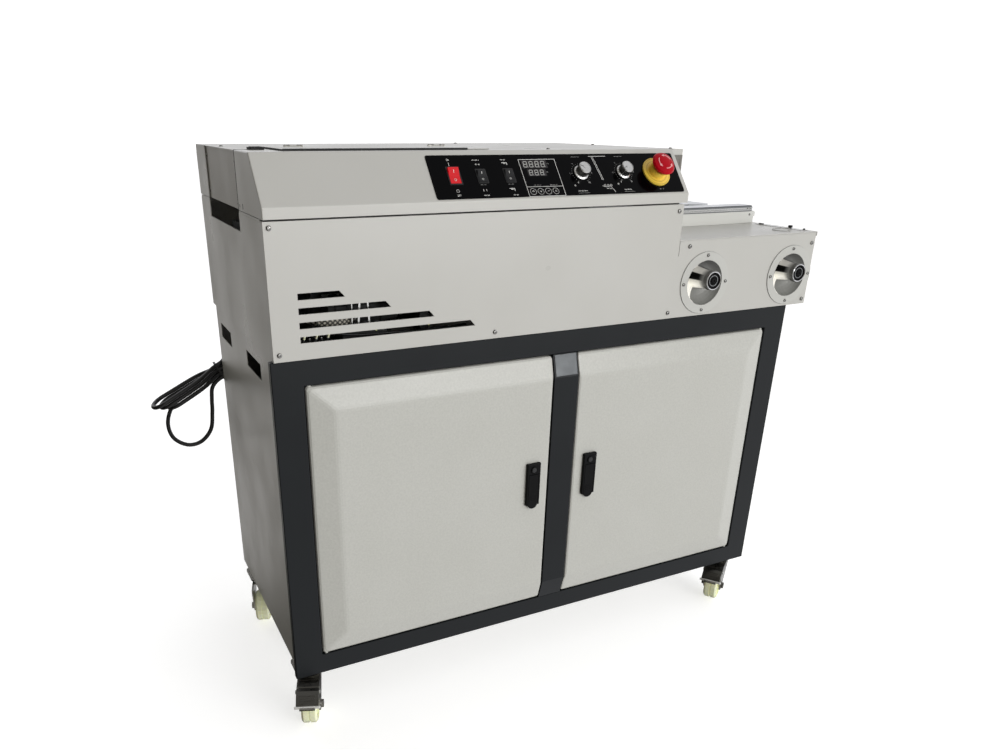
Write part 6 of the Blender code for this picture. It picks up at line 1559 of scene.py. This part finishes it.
rivets = bmesh.new()
knuckles = bmesh.new()
for number in (1, 2):
    hinge = middle_of(f"lid_hinge_{number}")[0]
    for step in (-0.0095, 0.0, 0.0095):
        put_turned(rivets, [(0.0019, 0), (0.0018, 0.0005), (0.0012, 0.0009), (0, 0.0011)],
                   DRAWING @ placed((hinge + step, 0.2092, 0.9250)), 16)
    for step in (-0.0077, 0.0073):
        knuckle = placed((hinge + step, 0.2000, 0.9262), math.pi / 2, "Y")
        put_turned(knuckles, [
            (0.0021, 0), (0.0025, 0.0001), (0.0025, 0.0003), (0.0021, 0.0004)],
            DRAWING @ knuckle, 18)
keep("lid_hinge_rivets", rivets, SCREW_STEEL, "machine", smooth=50)
keep("lid_hinge_knuckle_lines", knuckles, PRINT_DARK, "machine")
print("the lid's last hinge is at", hinge)

# %% Right end of the hood
# The dark plate on the hood's right end is painted shade on the front return beside the slope.
outlined("hood_end_plate", SHADE_PAINT, [
    (rectangle(0.7237, 0.8524, 0.7454, 0.9142), 0.0487, 0.0496),
    (rectangle(0.7400, 0.8600, 0.7440, 0.9080), 0.0481, 0.0487)], axis=1, edge=0.0003)
outlined("hood_end_flange", BODY_PAINT, [([
    (0.7237, 0.8422), (0.7457, 0.8422), (0.7457, 0.8516), (0.7440, 0.8524), (0.7237, 0.8524)],
    0.0480, 0.0497)], axis=1, edge=0.0003)

# %% Plate on the post's sloping top
top_plate = bmesh.new()
post_slope = Vector((0, -0.0100, -0.0385)).normalized()
post_seat = DRAWING @ placed((middle_of("door_post")[0], 0.0, 0.6068)) @ Matrix((
    (1, 0, 0, 0), (0, post_slope.y, post_slope.z, 0), (0, post_slope.z, -post_slope.y, 0),
    (0, 0, 0, 1)))
# The plate's dark grey is painted shade.
put_outline(top_plate, rectangle(-0.0215, 0.0008, 0.0215, 0.0375), -0.0002, 0.0007, post_seat)
keep("post_top_plate", top_plate, SHADED_POST_PLATE, "machine", edge=0.0005)
print("the post's top slopes by", round(math.degrees(math.asin(-post_slope.z)), 1), "degrees")

# %% [markdown]
# ## The nip station
#
# The nip bar's top and front carry strips of brighter metal, a painted highlight
# on its lit faces, and it has two tiny screws at its right end. A stop block sits
# beside the box. On the table's right edge are a side-lay knob, its clamp and a
# thin spring wire.

# %% Nip bar
NIP_RUN = (0.7205, 1.0268)
# Both strips are painted highlight on the bar's top and front.
outlined("nip_bar_top_highlight", ALUMINIUM, [
    ([(0.1535, 0.8143), (0.1880, 0.8143), (0.1876, 0.8148), (0.1539, 0.8148)], *NIP_RUN)],
    body="nip_jaw_bar")
outlined("nip_bar_front_highlight", BRIGHT_STEEL, [
    ([(0.1515, low), (0.1515 - proud, low + 0.0004), (0.1515 - proud, high - 0.0004),
      (0.1515, high)], *NIP_RUN)
    for low, high, proud in ((0.8050, 0.8074, 0.0003), (0.8078, 0.8106, 0.0004))],
    body="nip_jaw_bar")
screws("nip_bar_screws", [(x, 0.1511, 0.8090) for x in (1.0150, 1.0222)], FRONT, "M1.4",
       "nip_jaw_bar")
screws("nip_box_screws", [(1.0215, 0.1500, 0.7975)], FRONT, "M2.2")
screws("nip_box_end_screws", [(1.0320, y, 0.7900) for y in (0.1650, 0.2450)], RIGHT, "M2.5")
# The stop block wears the same lighter grey, which is painted light.
outlined("nip_stop_block", LIT_BODY_PAINT, [
    ([(1.0322, 0.7925), (1.0398, 0.7925), (1.0398, 0.8010), (1.0374, 0.8034), (1.0322, 0.8034)],
     0.1540, 0.1760),
    (rectangle(1.0322, 0.7808, 1.0342, 0.7925), 0.1560, 0.1740)], axis=1, edge=0.0005)
print("the nip bar runs from", NIP_RUN[0], "to", NIP_RUN[1])

# %% Side lay on the table's edge
lay = bmesh.new()
put_turned(lay, [
    (0.0020, 0), (0.0020, 0.0016), (0.0040, 0.0018), (0.0042, 0.0026), (0.0042, 0.0052),
    (0.0036, 0.0060), (0, 0.0062)], DRAWING @ placed((1.0310, 0.0510, TABLE_TOP)))
put_turned(lay, [(0.0022, 0), (0.0022, 0.0022), (0.0014, 0.0030), (0, 0.0031)],
           DRAWING @ placed((1.0370, 0.0230, TABLE_TOP)), 18)
put_outline(lay, round_box((1.0280, 0.122), 0.0024, 0.0050, 0.0008), TABLE_TOP, TABLE_TOP + 0.0026)
keep("side_lay_knobs", lay, KNOB_ABS, "machine", smooth=35)
outlined("side_lay_plate", BRIGHT_STEEL, [([
    (1.0240, 0.0180), (1.0405, 0.0180), (1.0405, 0.1300), (1.0360, 0.1340), (1.0240, 0.1340)],
    TABLE_TOP, TABLE_TOP + 0.0009)], axis=2, edge=0.0003)
swept("side_lay_spring", [
    (x, y, TABLE_TOP + rise) for x, y, rise in (
        (1.0300, 0.0500, 0.0016), (1.0100, 0.0560, 0.0012), (0.9880, 0.0520, 0.0009),
        (0.9760, 0.0400, 0.0009), (0.9800, 0.0240, 0.0009), (0.9940, 0.0160, 0.0009))],
    0.0005, ZINC_PLATE)
print("the side lay stands on the table at", TABLE_TOP)

# %% [markdown]
# ## The back
#
# Behind the drive room the housing has a service cover with pressed louvres, and
# the cabinet has a second, plain one. The cord leaves the cabinet through a gland
# with a ribbed bend guard, so that it can't kink at the wall.

# %% Service covers
REAR_WALL = side_of("housing_shell", "rear")
CABINET_WALL = side_of("stand_cabinet", "rear")
COVER_SHEET = 0.0012
LOUVRE_LENGTH = 0.046
LOUVRE_COLUMNS = 6
LOUVRE_ROWS = 5
covers = []
for left, low, right, high, wall in (
        (0.110, 0.668, 0.610, 0.824, REAR_WALL), (0.180, 0.200, 0.820, 0.500, CABINET_WALL)):
    middle = ((left + right) / 2, (low + high) / 2)
    outline = round_box(middle, (right - left) / 2, (high - low) / 2, 0.006)
    covers.append((outline, wall, wall + COVER_SHEET))
outlined("rear_covers", BODY_PAINT, covers, axis=1, edge=0.0004)

# Under each louvre a thin black strip is painted shade in its open mouth.
louvres, mouth_shades = [], []
for column in range(LOUVRE_COLUMNS):
    for row in range(LOUVRE_ROWS):
        left = 0.146 + column * 0.0755
        low = 0.692 + row * 0.0235
        louvres.append(([
            (REAR_WALL + 0.0010, low), (REAR_WALL + 0.0052, low),
            (REAR_WALL + 0.0046, low + 0.0024), (REAR_WALL + 0.0010, low + 0.0088)],
            left, left + LOUVRE_LENGTH))
        mouth_shades.append(([
            (REAR_WALL + 0.0012, low - 0.0016), (REAR_WALL + 0.0015, low - 0.0016),
            (REAR_WALL + 0.0040, low - 0.0001), (REAR_WALL + 0.0012, low - 0.0001)],
            left + 0.0010, left + LOUVRE_LENGTH - 0.0010))
outlined("rear_louvres", BODY_PAINT, louvres, edge=0.0008)
outlined("rear_louvre_mouth_shades", PRINT_DARK, mouth_shades)

rear_places = [
    (x, wall, z) for wall, columns, rows in (
        (REAR_WALL, (0.030, 0.700, 0.880, 1.025), (0.664, 0.765)),
        (REAR_WALL + COVER_SHEET, (0.122, 0.360, 0.598), (0.678, 0.814)),
        (CABINET_WALL + COVER_SHEET, (0.194, 0.500, 0.806), (0.212, 0.488)))
    for x in columns for z in rows]
screws("rear_screws", rear_places, BACK, "M4")
HOOD_REAR = side_of("hood_body", "rear")
screws("hood_rear_screws", [(x, HOOD_REAR, 0.8475) for x in (0.030, 0.360, 0.700)], BACK, "M3.5")
print("louvres:", len(louvres), "screws at the back:", len(rear_places) + 3)


# %% Bend guard
def put_sleeve(shape, points, radii):
    """Add a sleeve round a line of places, with a radius at each place."""
    rings = []
    for index, (place, radius) in enumerate(zip(points, radii)):
        before, after = points[max(index - 1, 0)], points[min(index + 1, len(points) - 1)]
        rings.append(put_ring(shape, facing(place, after - before), radius, 0, GUARD_SIDES))
    put_ring_walls(shape, rings)
    shape.faces.new(rings[0])
    shape.faces.new(rings[-1])


def along_cord(far):
    """The place at a distance along the cord from its gland."""
    for near, after in zip(cord_line, cord_line[1:]):
        step = (after - near).length
        if far <= step:
            return near.lerp(after, far / step)
        far -= step
    return cord_line[-1]


GUARD_LENGTH = 0.030
GUARD_RADIUS = 0.0068
GUARD_TAPER = 0.0022
GROOVE_DEPTH = 0.0006
GUARD_STEPS = 8 * 4
GUARD_SIDES = 24
guard = bmesh.new()
guard_places, guard_radii = [], []
for step in range(GUARD_STEPS + 1):
    share = step / GUARD_STEPS
    guard_places.append(along_cord(0.0002 + GUARD_LENGTH * share))
    groove = GROOVE_DEPTH if step % 4 in (2, 3) else 0.0
    guard_radii.append(GUARD_RADIUS - GUARD_TAPER * share - groove)
put_sleeve(guard, guard_places, guard_radii)
keep("cord_bend_guard", guard, RUBBER, "machine", smooth=25)

turned_piece("cord_gland_washer", RUBBER, "machine", [
    (0.0128, 0.0002), (0.0150, 0.0002), (0.0154, 0.0008), (0.0150, 0.0014), (0.0128, 0.0016)],
    DRAWING @ placed((GLAND[0], CABINET_WALL, GLAND[2]), -math.pi / 2), 36)
print("bend guard's length:", GUARD_LENGTH)
